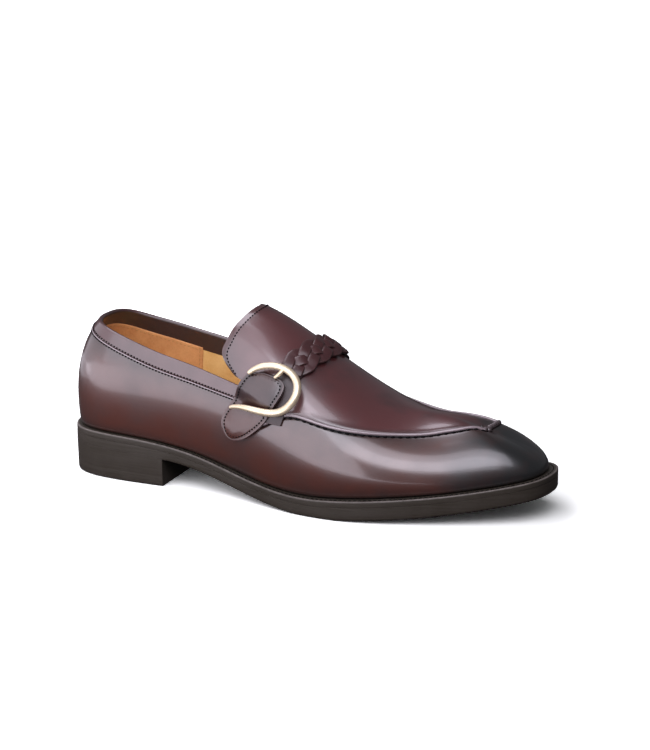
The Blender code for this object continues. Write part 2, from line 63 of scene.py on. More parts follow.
SOLE_LOW, SOLE_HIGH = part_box("outsole")
MM = 0.001
HEEL_OUT = 2.4            # the heel end is let out backwards by this much,
HEEL_FADE = 150.0         # fading to nothing this far along
LENGTH = (SOLE_HIGH.x - SOLE_LOW.x) / MM - HEEL_OUT
HEEL_LENGTH = (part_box("heel")[1].x - SOLE_LOW.x) / MM / (1 + HEEL_OUT / HEEL_FADE)
TOE_CENTRE = 4.5          # toe tip, shifted to the inner side
WELT_THICK = 3.5
WELT_INSET = 2.2          # how far the welt reaches under the upper
WELT_JOINT = 0.08         # gaps below the welt
HEEL_JOINT = 0.06         # and above the heel
SOCK_INSET = 3.2          # sock's edge inside the foot of the upper
SOCK_RISE = 3.1           # sock above the feather line
LINING_DEPTH = 1.9        # lining inside the last's surface
GRIP_LENGTH = 66.0        # heel grip, heel back to its front edge
WIRE_LIFT = 7.15          # buckle's centre line over the last
CAMERA_AIM = (158.7, 0.0, 71.5)       # point of the last that the camera looks at,
CAMERA_TURN, CAMERA_CLIMB = 23.06, 16.32  # from where round the shoe, in degrees,
CAMERA_ROLL = -0.18                   # rolled by, in degrees,
CAMERA_REACH = 2.1898                 # and from how far, in metres

# outsole outline: along, outer half width, inner half width
SOLE = np.array([
    (2.5, 12.5, 12.5), (9, 21.4, 21.6), (20, 27.2, 27.6), (38, 30.4, 31.0),
    (60, 31.4, 31.6), (82, 32.0, 30.6), (104, 35.2, 28.8), (126, 41.0, 28.8),
    (148, 47.0, 33.0), (170, 51.2, 40.0), (190, 51.8, 46.6), (208, 49.4, 50.6),
    (226, 44.8, 51.4), (244, 39.4, 49.2), (260, 33.8, 44.6), (275, 27.8, 38.0),
    (287, 21.6, 31.0), (295.5, 14.8, 23.8), (300.3, 6.4, 15.2)])
# welt showing outside the upper: along, outer, inner
WELT = np.array([
    (0, 2.6, 2.6), (60, 2.8, 2.4), (110, 3.6, 1.8), (160, 4.4, 2.6),
    (200, 4.8, 4.0), (250, 5.0, 4.8), (302, 5.4, 5.4)])
# feather line (upper meets welt) and edge thickness: along, height, thickness
EDGE = np.array([
    (0, 27.7, 9.0), (30, 27.8, 9.0), (60, 26.4, 8.7), (90, 21.8, 8.7),
    (120, 15.2, 9.1), (140, 11.9, 9.7), (160, 10.5, 10.6), (180, 11.3, 11.6),
    (200, 12.9, 11.9), (225, 15.2, 11.9), (250, 18.3, 11.7), (275, 22.4, 11.5),
    (302, 27.2, 11.3)])
# top line of the last: station, along, height
RIDGE = np.array([
    (0.00, 50, 116), (0.15, 62, 119), (0.30, 86, 118.2), (0.40, 112, 112.6),
    (0.48, 136.5, 102.4), (0.55, 160, 87), (0.65, 190, 66.5), (0.75, 215, 57.5),
    (0.88, 242, 55.3), (1.00, 258, 51.0)])
# section shape: station, outer lean, inner lean (degrees), wall and top fullness
SECTION = np.array([
    (0.00, 5, 5, 0.52, 0.82), (0.12, 11, 11, 0.56, 0.84), (0.25, 12, 12, 0.58, 0.88),
    (0.40, 12, 12, 0.56, 0.82), (0.50, 16, 16, 0.49, 0.74), (0.60, 18, 18, 0.45, 0.71),
    (0.70, 16, 14, 0.42, 0.68), (0.85, 11, 10, 0.41, 0.70), (1.00, 1, 1, 0.48, 0.69)])
# collar line: along, outer height, inner height
COLLAR = np.array([
    (8, 97.6, 97.6), (18, 96.0, 94.6), (32, 92.8, 89.4), (48, 88.2, 85.6),
    (66, 82.8, 82.0), (86, 78.0, 78.4), (104, 73.6, 74.6), (122, 69.8, 70.4)])
# throat, where the tongue comes out from under the apron: rise, station
THROAT = np.array([
    (0.405, 0.434), (0.47, 0.457), (0.54, 0.4775), (0.61, 0.4925), (0.70, 0.5075),
    (0.80, 0.5225), (0.90, 0.5345), (1.00, 0.543)])
# rear edge of the tongue: rise, station
TONGUE = np.array([
    (0.42, 0.434), (0.45, 0.417), (0.49, 0.403), (0.53, 0.399), (0.58, 0.401),
    (0.66, 0.4045), (0.76, 0.4105), (0.88, 0.4165), (1.00, 0.4185)])
# height of the collar band: along, arc length
BAND = np.array([(0, 8.0), (30, 9.0), (60, 9.6), (90, 9.4), (115, 8.4), (150, 7.9)])
# apron seam: station, rise; outer run, front edge, inner run
APRON_OUTER = np.array([
    (0.452, 0.262), (0.465, 0.277), (0.477, 0.306), (0.492, 0.362), (0.511, 0.416),
    (0.546, 0.454), (0.587, 0.495), (0.629, 0.557), (0.676, 0.620), (0.732, 0.673),
    (0.762, 0.699), (0.800, 0.725), (0.832, 0.757), (0.866, 0.791), (0.899, 0.819)])
APRON_FRONT = np.array([
    (0.899, 0.819), (0.916, 0.856), (0.934, 0.890), (0.957, 0.918), (0.98, 0.935),
    (1.005, 0.941), (1.032, 0.932), (1.063, 0.888), (1.082, 0.846), (1.098, 0.807),
    (1.113, 0.769), (1.128, 0.728), (1.146, 0.680)])
APRON_INNER = np.array([
    (1.146, 0.680), (1.157, 0.708), (1.172, 0.732), (1.192, 0.744), (1.275, 0.708),
    (1.343, 0.638), (1.403, 0.543), (1.450, 0.499), (1.481, 0.472), (1.500, 0.425),
    (1.520, 0.345), (1.548, 0.290)])
# plaited strap: it lies along a plane crossing the top line at BRAID_STATION
BRAID_STATION = 0.546
BRAID_FORWARD = np.array([0.82, -0.10, -0.57])
BRAID_ENDS = (0.650, 1.485)
# strap end outline, from its top edge down: left across and up, right across and up
TAB = np.array([
    (-3.0, 8.0, 5.0, 9.6), (-7.6, 6.4, 9.6, 8.6), (-11.0, 4.2, 12.0, 6.2),
    (-12.4, 0.4, 13.2, 2.0), (-13.1, -4.6, 13.2, -3.2), (-13.4, -10.0, 12.6, -8.3),
    (-13.8, -14.7, 11.7, -13.6), (-14.8, -20.0, 10.2, -19.0), (-15.4, -25.4, 7.4, -24.6),
    (-14.0, -30.2, 3.9, -29.6), (-10.8, -33.4, -0.4, -33.2), (-7.4, -34.7, -4.2, -34.7)])
# hook buckle centre line, from its free end round to its tail: forward, up, wire share
HOOK = np.array([
    (-10.4, 3.4, 0.56), (-8.2, 7.9, 0.76), (-3.4, 12.1, 0.90), (3.0, 14.5, 0.94),
    (9.6, 14.6, 0.98), (15.8, 12.4, 1.02), (20.2, 8.2, 1.05), (21.9, 3.0, 1.06),
    (20.9, -2.2, 1.05), (17.2, -6.3, 1.02), (11.6, -9.0, 0.98), (4.2, -11.2, 0.90),
    (-3.0, -13.2, 0.74), (-8.4, -15.6, 0.58), (-11.0, -17.6, 0.44)])
# prong inside the hook: forward, up, drop
PRONG = np.array([
    (5.4, 14.7, 0.0), (5.6, 12.8, 0.3), (5.4, 10.9, 0.2), (4.7, 9.4, -0.4), (3.8, 8.6, -1.2)])


# --- small maths ---
def clip01(x):
    return np.clip(x, 0, 1)


def hump(x, centre, width):
    """1 at the centre, falling away like a bell on both sides."""
    return np.exp(-((x - centre) / width) ** 2)


def spline(xs, ys, period=None):
    """Cubic through the rows: closed over a period, or carried on straight past the ends."""
    xs, ys = np.asarray(xs, float), np.asarray(ys, float)
    if period:
        xs, ys = np.append(xs, xs[0] + period), np.append(ys, ys[0])
    h = np.diff(xs)
    slope = np.diff(ys) / h
    rows = np.eye(len(xs))
    right = np.zeros(len(xs))
    for i in range(1, len(h)):
        rows[i, i - 1:i + 2] = h[i - 1], 2 * (h[i - 1] + h[i]), h[i]
        right[i] = 6 * (slope[i] - slope[i - 1])
    if period:
        rows[0, -1] = -1
        rows[-1, [-2, -1, 1]] = h[-1], 2 * (h[-1] + h[0]), h[0]
        right[-1] = 6 * (slope[0] - slope[-1])
    bend = np.linalg.solve(rows, right)
    first = slope[0] - h[0] * bend[1] / 6
    last = slope[-1] + h[-1] * bend[-2] / 6

    def value(q):
        q = np.asarray(q, float)
        if period:
            q = (q - xs[0]) % period + xs[0]
        inside = np.clip(q, xs[0], xs[-1])
        i = np.clip(np.searchsorted(xs, inside, side="right") - 1, 0, len(h) - 1)
        d, e, step = inside - xs[i], xs[i + 1] - inside, h[i]
        r = (bend[i] * e ** 3 + bend[i + 1] * d ** 3) / (6 * step)
        r = r + (ys[i] / step - bend[i] * step / 6) * e
        r = r + (ys[i + 1] / step - bend[i + 1] * step / 6) * d
        return r + np.where(q < xs[0], first, last) * (q - inside)
    return value


def even_spline(table, column):
    """Spline over the folded station, level where it turns at the heel and toe."""
    a, v = table[:, 0], table[:, column]
    return spline(np.append(a, 2 - a[-2:0:-1]), np.append(v, v[-2:0:-1]), 2.0)


def ease(x, start, end):
    """0 before start, 1 after end, smooth between."""
    s = clip01((np.asarray(x, float) - start) / (end - start))
    return s * s * (3 - 2 * s)


def unit(v):
    return v / np.maximum(np.linalg.norm(v, axis=-1, keepdims=True), 1e-12)


# --- the last ---
def along(k):
    return LENGTH / 2 * (1 - np.cos(np.pi * np.asarray(k, float)))


def station_at(x):
    return np.arccos(np.clip(1 - 2 * np.asarray(x, float) / LENGTH, -1, 1)) / np.pi


def outline_spline():
    ks = station_at(SOLE[:, 0])
    ks = np.concatenate([[0], ks, [1], 2 - ks[::-1]])
    ys = np.concatenate([[0], -SOLE[:, 1], [TOE_CENTRE], SOLE[::-1, 2]])
    return spline(ks, ys, 2.0)


OUTLINE = outline_spline()
WELT_OUTER, WELT_INNER = [spline(WELT[:, 0], WELT[:, i]) for i in (1, 2)]
FEATHER_Z, EDGE_THICK = [spline(EDGE[:, 0], EDGE[:, i]) for i in (1, 2)]
RIDGE_X, RIDGE_Z = [even_spline(RIDGE, i) for i in (1, 2)]
LEAN_OUTER, LEAN_INNER, WALL_FULL, TOP_FULL = [even_spline(SECTION, i) for i in (1, 2, 3, 4)]
COLLAR_OUTER, COLLAR_INNER = [spline(COLLAR[:, 0], COLLAR[:, i]) for i in (1, 2)]
BAND_HEIGHT = spline(BAND[:, 0], BAND[:, 1])
SWEEP = np.linspace(0, 2, 801)
CENTRE_Y = (OUTLINE(SWEEP).min() + OUTLINE(SWEEP).max()) / 2


def placed(points):
    """Form points in millimetres as points of the finished shoe in metres."""
    x, y, z = np.moveaxis(np.asarray(points, float), -1, 0)
    x = x - HEEL_OUT * np.clip(1 - x / HEEL_FADE, 0, None) - (LENGTH - HEEL_OUT) / 2
    return np.stack([x, y - CENTRE_Y, z], -1) * MM


def fold(k):
    """Station on the outer side matching k, and which side k is on."""
    k = np.asarray(k, float) % 2
    return np.where(k <= 1, k, 2 - k), np.where(k <= 1, -1.0, 1.0)


def by_side(k, outer, inner):
    """Outer and inner values, eased into each other round the heel and toe."""
    a, side = fold(k)
    turn = clip01(np.sin(np.pi * a) / 0.25)
    share = 0.5 * (1 + side * (1.5 * turn - 0.5 * turn ** 3))
    return outer * (1 - share) + inner * share


def ring_xy(k, inset=0.0):
    """Outsole outline in plan, moved inwards by inset."""
    e = 1e-4
    p = np.stack([along(k), OUTLINE(k)], -1)
    q = unit(np.stack([along(k + e) - along(k - e), OUTLINE(k + e) - OUTLINE(k - e)], -1))
    return p + np.stack([-q[..., 1], q[..., 0]], -1) * np.asarray(inset)[..., None]


def welt_show(k):
    x = along(k)
    return by_side(k, WELT_OUTER(x), WELT_INNER(x))


def outsole_bottom(x):
    return np.maximum(FEATHER_Z(x) - EDGE_THICK(x), 0.0)


def ridge_slope(a):
    """Fall of the top line; at the two turning ends it is taken just inside."""
    a = np.clip(a, 0.02, 0.98)
    e = 1e-3
    return (RIDGE_Z(a + e) - RIDGE_Z(a - e)) / (RIDGE_X(a + e) - RIDGE_X(a - e))


def form(k, t):
    """Point of the last; past t = 1 it comes down the other side."""
    k, t = np.asarray(k, float), np.asarray(t, float)
    k = np.where(t > 1, -k, k) % 2
    t = np.where(t > 1, 2 - t, t)
    a, _ = fold(k)
    foot = ring_xy(k, welt_show(k))
    e = 1e-4
    run = unit(ring_xy(k + e, welt_show(k + e)) - ring_xy(k - e, welt_show(k - e)))
    out = np.stack([run[..., 1], -run[..., 0]], -1)
    foot = np.concatenate([foot, FEATHER_Z(foot[..., 0])[..., None]], -1)
    top = np.stack([RIDGE_X(a), 0 * a, RIDGE_Z(a)], -1)
    lean = np.radians(by_side(k, LEAN_OUTER(a), LEAN_INNER(a)))
    rise = (top[..., 2] - foot[..., 2]) * WALL_FULL(a)
    wall = np.concatenate([out * np.sin(lean)[..., None], np.cos(lean)[..., None]], -1)
    low = foot + rise[..., None] * wall
    flat = foot[..., :2] - top[..., :2]
    reach = np.concatenate([flat, (ridge_slope(a) * flat[..., 0])[..., None]], -1)
    high = top + TOP_FULL(a)[..., None] * reach
    t = t[..., None]
    s = 1 - t
    return s ** 3 * foot + 3 * s ** 2 * t * low + 3 * s * t ** 2 * high + t ** 3 * top


def run_slope(k, t, e=1e-3):
    """How the last's surface moves for each unit of station."""
    return (form(k + e, t) - form(k - e, t)) / (2 * e)


def rise_slope(k, t, e=1e-3):
    """How the last's surface moves for each unit of rise."""
    return (form(k, t + e) - form(k, t - e)) / (2 * e)


def run_rate(k, t):
    """Millimetres run for each unit of station."""
    return np.linalg.norm(run_slope(k, t), axis=-1)


def rise_rate(k, t):
    """Millimetres climbed for each unit of rise."""
    return np.linalg.norm(rise_slope(k, t), axis=-1)


def normal(k, t):
    """Outward direction of the last."""
    k, t = np.asarray(k, float), np.asarray(t, float)
    n = np.cross(run_slope(k, t, 5e-4), rise_slope(k, t, 5e-4))
    a, _ = fold(k)
    crest = np.stack([-ridge_slope(a), 0 * a, 1 + 0 * a], -1)
    return unit(np.where((np.abs(t - 1) < 2e-3)[..., None], crest, n))


def skin(k, t, lift=0.0):
    """The last's surface moved out along its normal."""
    return form(k, t) + normal(k, t) * np.asarray(lift)[..., None]


def lay(k, t, lift):
    """Points over the last and the directions out of it."""
    return skin(k, t, lift), normal(k, t)


class Patch:
    """A flat drawing area, in millimetres, laid on the last at one point."""

    def __init__(self, k, t):
        self.start = (k, t)
        self.origin = form(k, t)
        self.u = unit(run_slope(k, t))
        self.v = np.cross(unit(np.cross(self.u, rise_slope(k, t))), self.u)

    def stations(self, p, q):
        """Ring station and rise under drawing point (p, q)."""
        p, q = np.asarray(p, float), np.asarray(q, float)
        k, t = [np.full(p.shape, value) for value in self.start]
        for _ in range(14):
            here = form(k, t) - self.origin
            dk, dt = run_slope(k, t, 1e-4), rise_slope(k, t, 1e-4)
            a, b, c, d = dk @ self.u, dt @ self.u, dk @ self.v, dt @ self.v
            r, s = p - here @ self.u, q - here @ self.v
            det = a * d - b * c
            k = k + np.clip((r * d - b * s) / det, -0.05, 0.05)
            t = t + np.clip((a * s - c * r) / det, -0.15, 0.15)
        return k, t


OUTER_PATCH = Patch(0.470, 0.46)
INNER_PATCH = Patch(2 - 0.488, 0.395)


def throat_rise(a):
    return np.interp(a, THROAT[:, 1], THROAT[:, 0])


def collar_rise(a, side):
    """Rise at which a section meets the collar line."""
    k = np.where(side < 0, a, 2 - a)
    low = np.zeros(k.shape)
    high = np.full(k.shape, 0.8)
    for _ in range(24):
        rise = (low + high) / 2
        p = form(k, rise)
        over = p[..., 2] > by_side(k, COLLAR_OUTER(p[..., 0]), COLLAR_INNER(p[..., 0]))
        high = np.where(over, rise, high)
        low = np.where(over, low, rise)
    top = np.minimum(high, THROAT[0, 0] + 0.3)
    return top, top - BAND_HEIGHT(along(a)) / rise_rate(k, top)


REAR = np.linspace(0, THROAT[0, 1], 500)
COLLAR_RISES = {side: collar_rise(REAR, side) for side in (-1, 1)}


def collar_part(k, part):
    """Rise of the collar band's top (part 0) or foot (part 1)."""
    a, side = fold(k)
    outer, inner = [np.interp(a, REAR, COLLAR_RISES[i][part]) for i in (-1, 1)]
    return np.where(side < 0, outer, inner)


def upper_top(k):
    """How far up its section the upper reaches at station k."""
    a, _ = fold(k)
    return np.where(a < THROAT[0, 1], collar_part(k, 0), throat_rise(a))


APRON_RUNS = [spline(*run.T) for run in (APRON_OUTER, APRON_FRONT, APRON_INNER)]


def seam_rise(k):
    """Rise of the seam that tops the side wall: collar band behind, apron ahead."""
    k = np.asarray(k, float) % 2
    a, side = fold(k)
    outer, front, inner = [run(k) for run in APRON_RUNS]
    ahead = np.where(k < APRON_FRONT[0, 0], outer, np.where(k < APRON_FRONT[-1, 0], front, inner))
    share = np.where(side < 0, ease(a, 0.440, 0.462), ease(a, 0.458, 0.480))
    return collar_part(k, 1) * (1 - share) + ahead * share


# --- mesh helpers ---
def mapped_grid(columns, rows, place):
    """A grid of quads moved to place(u, v), in millimetres, u and v from 0 to 1.
    place may add a dictionary of shares that are kept as vertex attributes."""
    bm = bmesh.new()
    bm.loops.layers.uv.new("UVMap")
    bmesh.ops.create_grid(bm, x_segments=columns, y_segments=rows, size=0.5, calc_uvs=True)
    flat = np.array([v.co[:2] for v in bm.verts]) + 0.5
    points = place(flat[:, 0], flat[:, 1])
    shares = {}
    if isinstance(points, tuple):
        points, shares = points
    for vert, point in zip(bm.verts, placed(points)):
        vert.co = point
    for name, values in shares.items():
        layer = bm.verts.layers.float.new(name)
        for vert, value in zip(bm.verts, values):
            vert[layer] = float(value)
    bmesh.ops.remove_doubles(bm, verts=bm.verts, dist=3e-6)
    bmesh.ops.dissolve_degenerate(bm, edges=bm.edges, dist=1e-6)
    return bm


def fill_ends(bm):
    """Close each open loop of a tube or block."""
    bmesh.ops.holes_fill(bm, edges=[e for e in bm.edges if e.is_boundary], sides=0)
    bmesh.ops.recalc_face_normals(bm, faces=bm.faces)


def add_piece(bm, name, finish, nodes=(), wall=0.0, rounding=0.0, sharp=None):
    """Turn the mesh into a piece that rides on the shoe and stands for CAD nodes."""
    for face in bm.faces:
        face.smooth = True
    mesh = bpy.data.meshes.new(name)
    bm.to_mesh(mesh)
    bm.free()
    if sharp:
        mesh.set_sharp_from_angle(angle=math.radians(sharp))
    piece = bpy.data.objects.new(name, mesh)
    bpy.context.scene.collection.objects.link(piece)
    mesh.materials.append(bpy.data.materials[finish])
    if wall:
        shell = piece.modifiers.new("wall", "SOLIDIFY")
        shell.thickness = wall * MM
        shell.offset = -1.0
    if rounding:
        edge = piece.modifiers.new("edge", "BEVEL")
        edge.width = rounding * MM
        edge.segments = 3
        edge.limit_method = "ANGLE"
        edge.angle_limit = math.radians(50)
    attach(piece, "root")
    if nodes:
        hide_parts(*nodes)
    return piece


def frames(path, up):
    """Direction, side and true up at each point of a path."""
    ahead = unit(np.gradient(path, axis=0))
    side = unit(np.cross(ahead, up))
    return ahead, side, np.cross(side, ahead)


def follow(at, s, points):
    """Rows of a path, known at s, read off at other places."""
    return np.stack([np.interp(at, s, column) for column in points.T], -1)


def tube(path, up, wide, tall, turns=16, boxy=1.0):
    """Rounded cord or ribbon swept along a path; both ends are closed.
    boxy below 1 flattens the sides of its section."""
    _, side, above = frames(path, up)
    size = np.linspace(0, 1, len(path))

    def place(u, v):
        angle = 2 * math.pi * v
        p, s, n = [follow(u, size, rows) for rows in (path, side, above)]
        across, rise = [np.sign(f) * np.abs(f) ** boxy for f in (np.cos(angle), np.sin(angle))]
        w = np.interp(u, size, wide) * across
        h = np.interp(u, size, tall) * rise
        return p + s * w[:, None] + n * h[:, None]
    bm = mapped_grid(len(path) - 1, turns, place)
    fill_ends(bm)
    return bm


def paint(bm, **shares):
    """Give a whole mesh the same shares."""
    for name, value in shares.items():
        layer = bm.verts.layers.float.new(name)
        for vert in bm.verts:
            vert[layer] = value


def arc_length(points):
    return np.concatenate([[0], np.cumsum(np.linalg.norm(np.diff(points, axis=0), axis=1))])


def blunt(s, reach):
    """Round taper over the last reach millimetres of both ends of a path."""
    return clip01(np.minimum(s, s[-1] - s) / reach) ** 0.5


ON_SIDE = Matrix.Rotation(math.pi / 2, 4, "Y")


def stitches(name, rows, pitch, length, width, finish="black_thread", slant=0.0):
    """Short thread stitches laid along rows of (points, outward directions)."""
    bm = bmesh.new()
    batch = bmesh.new()
    shelf = bpy.data.meshes.new(name + "_batch")

    def put_away():
        batch.to_mesh(shelf)
        bm.from_mesh(shelf)
        batch.clear()
    for points, outward in rows:
        s = arc_length(points)
        steps = max(2, int(round(s[-1] / pitch)))
        at = (np.arange(steps) + 0.5) * s[-1] / steps
        points, outward = follow(at, s, points), follow(at, s, outward)
        ahead, side, above = frames(points, outward)
        turn = math.radians(slant)
        ahead, side = (ahead * math.cos(turn) + side * math.sin(turn),
                       side * math.cos(turn) - ahead * math.sin(turn))
        for p, a, s, n in zip(placed(points), ahead, side, above):
            shape = Matrix((a * length / 2 * MM, s * width / 2 * MM, n * width / 2 * MM))
            shape = Matrix.Translation(p) @ shape.transposed().to_4x4() @ ON_SIDE
            bmesh.ops.create_uvsphere(
                batch, u_segments=6, v_segments=4, radius=1.0, matrix=shape)
            if len(batch.verts) > 800:
                put_away()
    put_away()
    batch.free()
    bpy.data.meshes.remove(shelf)
    add_piece(bm, name, finish)


# --- finishes ---
def rgba(colour):
    """A colour with full alpha; a socket is left as it is."""
    return colour if isinstance(colour, bpy.types.NodeSocket) else (*colour, 1)


class Wiring:
    """Short hand for adding and linking shader nodes."""

    def __init__(self, tree):
        self.tree = tree

    def feed(self, node, inputs):
        """Link each input that is a socket, and set each one that is a value."""
        for key, value in inputs.items():
            socket = node.inputs[key]
            if isinstance(value, bpy.types.NodeSocket):
                self.tree.links.new(value, socket)
            else:
                socket.default_value = value
        return node

    def add(self, kind, inputs=(), **settings):
        made = self.tree.nodes.new("ShaderNode" + kind)
        for key, value in settings.items():
            setattr(made, key, value)
        return self.feed(made, dict(inputs))

    def math(self, operation, *terms):
        return self.add("Math", enumerate(terms), operation=operation).outputs[0]

    def blend(self, share, a, b):
        inputs = {0: share, 6: rgba(a), 7: rgba(b)}
        return self.add("Mix", inputs, data_type="RGBA").outputs[2]

    def band(self, value, *limits):
        """Value from between the first two limits to between the last two, or 0 and 1."""
        return self.add("MapRange", enumerate((value, *limits))).outputs[0]

    def noise(self, place, scale, detail, rough=0.5):
        inputs = {"Vector": place, "Scale": scale, "Detail": detail, "Roughness": rough}
        return self.add("TexNoise", inputs).outputs[0]

    def bump(self, strength, depth, height):
        inputs = {"Strength": strength, "Distance": depth, "Height": height}
        return self.add("Bump", inputs).outputs[0]

    def share(self, name):
        return self.add("Attribute", attribute_name=name).outputs["Fac"]

    def grain(self, place, pores=1100.0, clouds=45.0):
        inputs = {"Vector": place, "Pores": pores, "Clouds": clouds}
        return self.add("Group", inputs, node_tree=bpy.data.node_groups["leather_grain"]).outputs

    def worn_and_highlit(self, place, strength):
        inputs = {"Vector": place, "Mask": self.share("rubbed"), "Strength": strength}
        return self.add("Group", inputs, node_tree=bpy.data.node_groups["rubbed_edge"]).outputs[0]


def new_group(name, values, outputs):
    """Node group of one vector, the given values and the given outputs."""
    tree = bpy.data.node_groups.new(name, "ShaderNodeTree")
    tree.interface.new_socket("Vector", in_out="INPUT", socket_type="NodeSocketVector")
    for label, value in values.items():
        socket = tree.interface.new_socket(label, in_out="INPUT", socket_type="NodeSocketFloat")
        socket.default_value = value
    for label in outputs:
        tree.interface.new_socket(label, in_out="OUTPUT", socket_type="NodeSocketFloat")
    return (Wiring(tree), tree.nodes.new("NodeGroupInput").outputs,
            tree.nodes.new("NodeGroupOutput"))


def grain_group():
    """Fine pores and soft cloudiness of finished leather."""
    w, given, out = new_group(
        "leather_grain", {"Pores": 1100.0, "Clouds": 45.0}, ("Height", "Mottle"))
    place = given["Vector"]
    pores = w.add("TexVoronoi", {"Vector": place, "Scale": given["Pores"]}, feature="SMOOTH_F1")
    height = w.math("MULTIPLY_ADD", pores.outputs["Distance"], 0.7, w.noise(place, 520.0, 3.0))
    height = w.math("MULTIPLY_ADD", w.noise(place, 95.0, 2.0), 2.4, height)
    cloud = w.noise(place, given["Clouds"], 4.0, 0.55)
    w.feed(out, {"Height": height, "Mottle": w.band(cloud, 0.32, 0.68)})


def rubbed_and_highlit_group():
    """Breaks an edge mask up with noise, for rubbed wear and painted edge highlights alike."""
    w, given, out = new_group("rubbed_edge", {"Mask": 0.0, "Strength": 0.6}, ("Mask",))
    noise = w.noise(given["Vector"], 210.0, 4.0)
    broken = w.math("MULTIPLY", given["Mask"], w.band(noise, 0.30, 0.62, 0.35, 1.0))
    w.feed(out, {"Mask": w.math("MULTIPLY", broken, given["Strength"])})


def new_material(name):
    """Wiring, place on the piece and shader of a new material."""
    made = bpy.data.materials.new(name)
    made.use_nodes = True
    w = Wiring(made.node_tree)
    return w, w.add("TexCoord").outputs["Object"], made.node_tree.nodes["Principled BSDF"]


def leather(name, colour, dark, rubbed, rough=(0.28, 0.36), coat=1.0, cloudy=0.42, shine=1.0):
    """Finished leather: the piece's own shares darken it and dull its coat, partly for real
    burnish and partly as painted shade, and pale its edges, partly for rubbed wear and partly as
    painted highlight.
    """
    w, place, shader = new_material(name)
    grain = w.grain(place, 1000.0)
    mottle = grain["Mottle"]
    drift = w.band(mottle, 0.0, 1.0, -0.5 * cloudy, 0.5 * cloudy)
    soft = w.math("ADD", w.share("burnish"), drift)
    soft.node.use_clamp = True
    w.feed(shader, {
        "Base Color": w.blend(w.worn_and_highlit(place, 0.5), w.blend(soft, colour, dark), rubbed),
        "Roughness": w.band(mottle, 0.0, 1.0, *rough),
        "Normal": w.bump(0.10, 0.00008, grain["Height"]),
        "Specular IOR Level": shine,
        "Coat Weight": w.band(soft, 0.0, 1.0, coat, 0.5 * coat),
        "Coat Roughness": 0.12})


def suede(name, colour, deep):
    """Napped or plain lining leather, dull and softly mottled."""
    w, place, shader = new_material(name)
    grain = w.grain(place, 1600.0, 70.0)
    speck = w.noise(place, 900.0, 2.0)
    share = w.math("MULTIPLY_ADD", speck, 0.5, w.math("MULTIPLY", grain["Mottle"], 0.6))
    w.feed(shader, {
        "Base Color": w.blend(w.band(share, 0.15, 0.95), colour, deep),
        "Roughness": w.band(speck, 0.3, 0.7, 0.62, 0.82),
        "Normal": w.bump(0.35, 0.00015, grain["Height"]),
        "Sheen Weight": 0.15})


def sole_finish(name, colour, light):
    """Inked leather edge: faint lines along the layers, and paler where rubbed; along the welt's
    top edge that pale line is also a painted highlight.
    """
    w, place, shader = new_material(name)
    layers = w.add("Mapping", {"Vector": place, "Scale": (25.0, 25.0, 1500.0)})
    lines = w.noise(layers.outputs[0], 1.0, 3.0)
    grain = w.grain(place)
    share = w.math("MULTIPLY_ADD", lines, 0.12, w.math("MULTIPLY", grain["Mottle"], 0.06))
    height = w.math("MULTIPLY_ADD", grain["Height"], 0.3, lines)
    w.feed(shader, {
        "Base Color": w.blend(w.worn_and_highlit(place, 0.85), w.blend(share, colour, light), light),
        "Roughness": w.band(lines, 0.3, 0.7, 0.34, 0.5),
        "Normal": w.bump(0.25, 0.00012, height),
        "Specular IOR Level": 0.3,
        "Coat Weight": 0.06,
        "Coat Roughness": 0.25})


def thread(name, colour, light):
    """Waxed thread with a faint twist."""
    w, place, shader = new_material(name)
    w.feed(shader, {
        "Base Color": w.blend(w.noise(place, 1800.0, 1.0), colour, light),
        "Roughness": 0.8,
        "Specular IOR Level": 0.08})


def plated(name, colour, deep):
    """Polished pale gold plate with the faintest orange peel and handling haze."""
    w, place, shader = new_material(name)
    haze = w.noise(place, 160.0, 4.0)
    w.feed(shader, {
        "Base Color": w.blend(w.band(haze, 0.35, 0.7, 0.0, 0.6), colour, deep),
        "Roughness": w.band(haze, 0.3, 0.7, 0.24, 0.34),
        "Normal": w.bump(0.05, 0.0001, w.noise(place, 700.0, 1.0)),
        "Metallic": 0.6})


def make_finishes(colours):
    """All the shoe's finishes, made once."""
    if "black_thread" in bpy.data.materials:
        return
    grain_group()
    rubbed_and_highlit_group()
    dark, rubbed = colours.calf_dark, colours.rubbed
    leather("upper_finish", colours.apron, dark, rubbed)
    leather("toe_calf", colours.calf, colours.toe, rubbed)
    leather("apron_calf", colours.apron, colours.toe, rubbed, cloudy=0.6)
    # beads are coloured pale grey all over: a painted highlight for their sheen
    leather("bead_painted_sheen", colours.bead, dark, colours.bead, cloudy=0.1)
    leather("tab_finish", colours.calf, dark, rubbed, coat=0.6, shine=0.7)
    leather("strap_finish", colours.strap, dark, rubbed, (0.36, 0.46), 0.3, shine=0.55)
    leather("collar_facing", colours.facing, dark, rubbed, (0.4, 0.5), 0.1)
    suede("lining_finish", colours.lining, colours.lining_deep)
    suede("heel_suede", colours.grip, colours.grip_deep)
    sole_finish("sole_ink", colours.sole, colours.sole_light)
    thread("black_thread", (0.003, 0.003, 0.0035), (0.009, 0.008, 0.009))
    thread("tan_thread", (0.40, 0.20, 0.07), (0.62, 0.36, 0.14))
    plated("gold_plate", colours.gold, colours.gold_deep)


# --- sizes and colours a maker would change ---
def length(label, text, size):
    return FloatProperty(name=label, description=text, default=size * MM, unit="LENGTH",
                         subtype="DISTANCE")


def colour(label, text, value):
    return FloatVectorProperty(name=label, description=text, default=value, subtype="COLOR",
                               size=3, min=0.0, max=1.0)


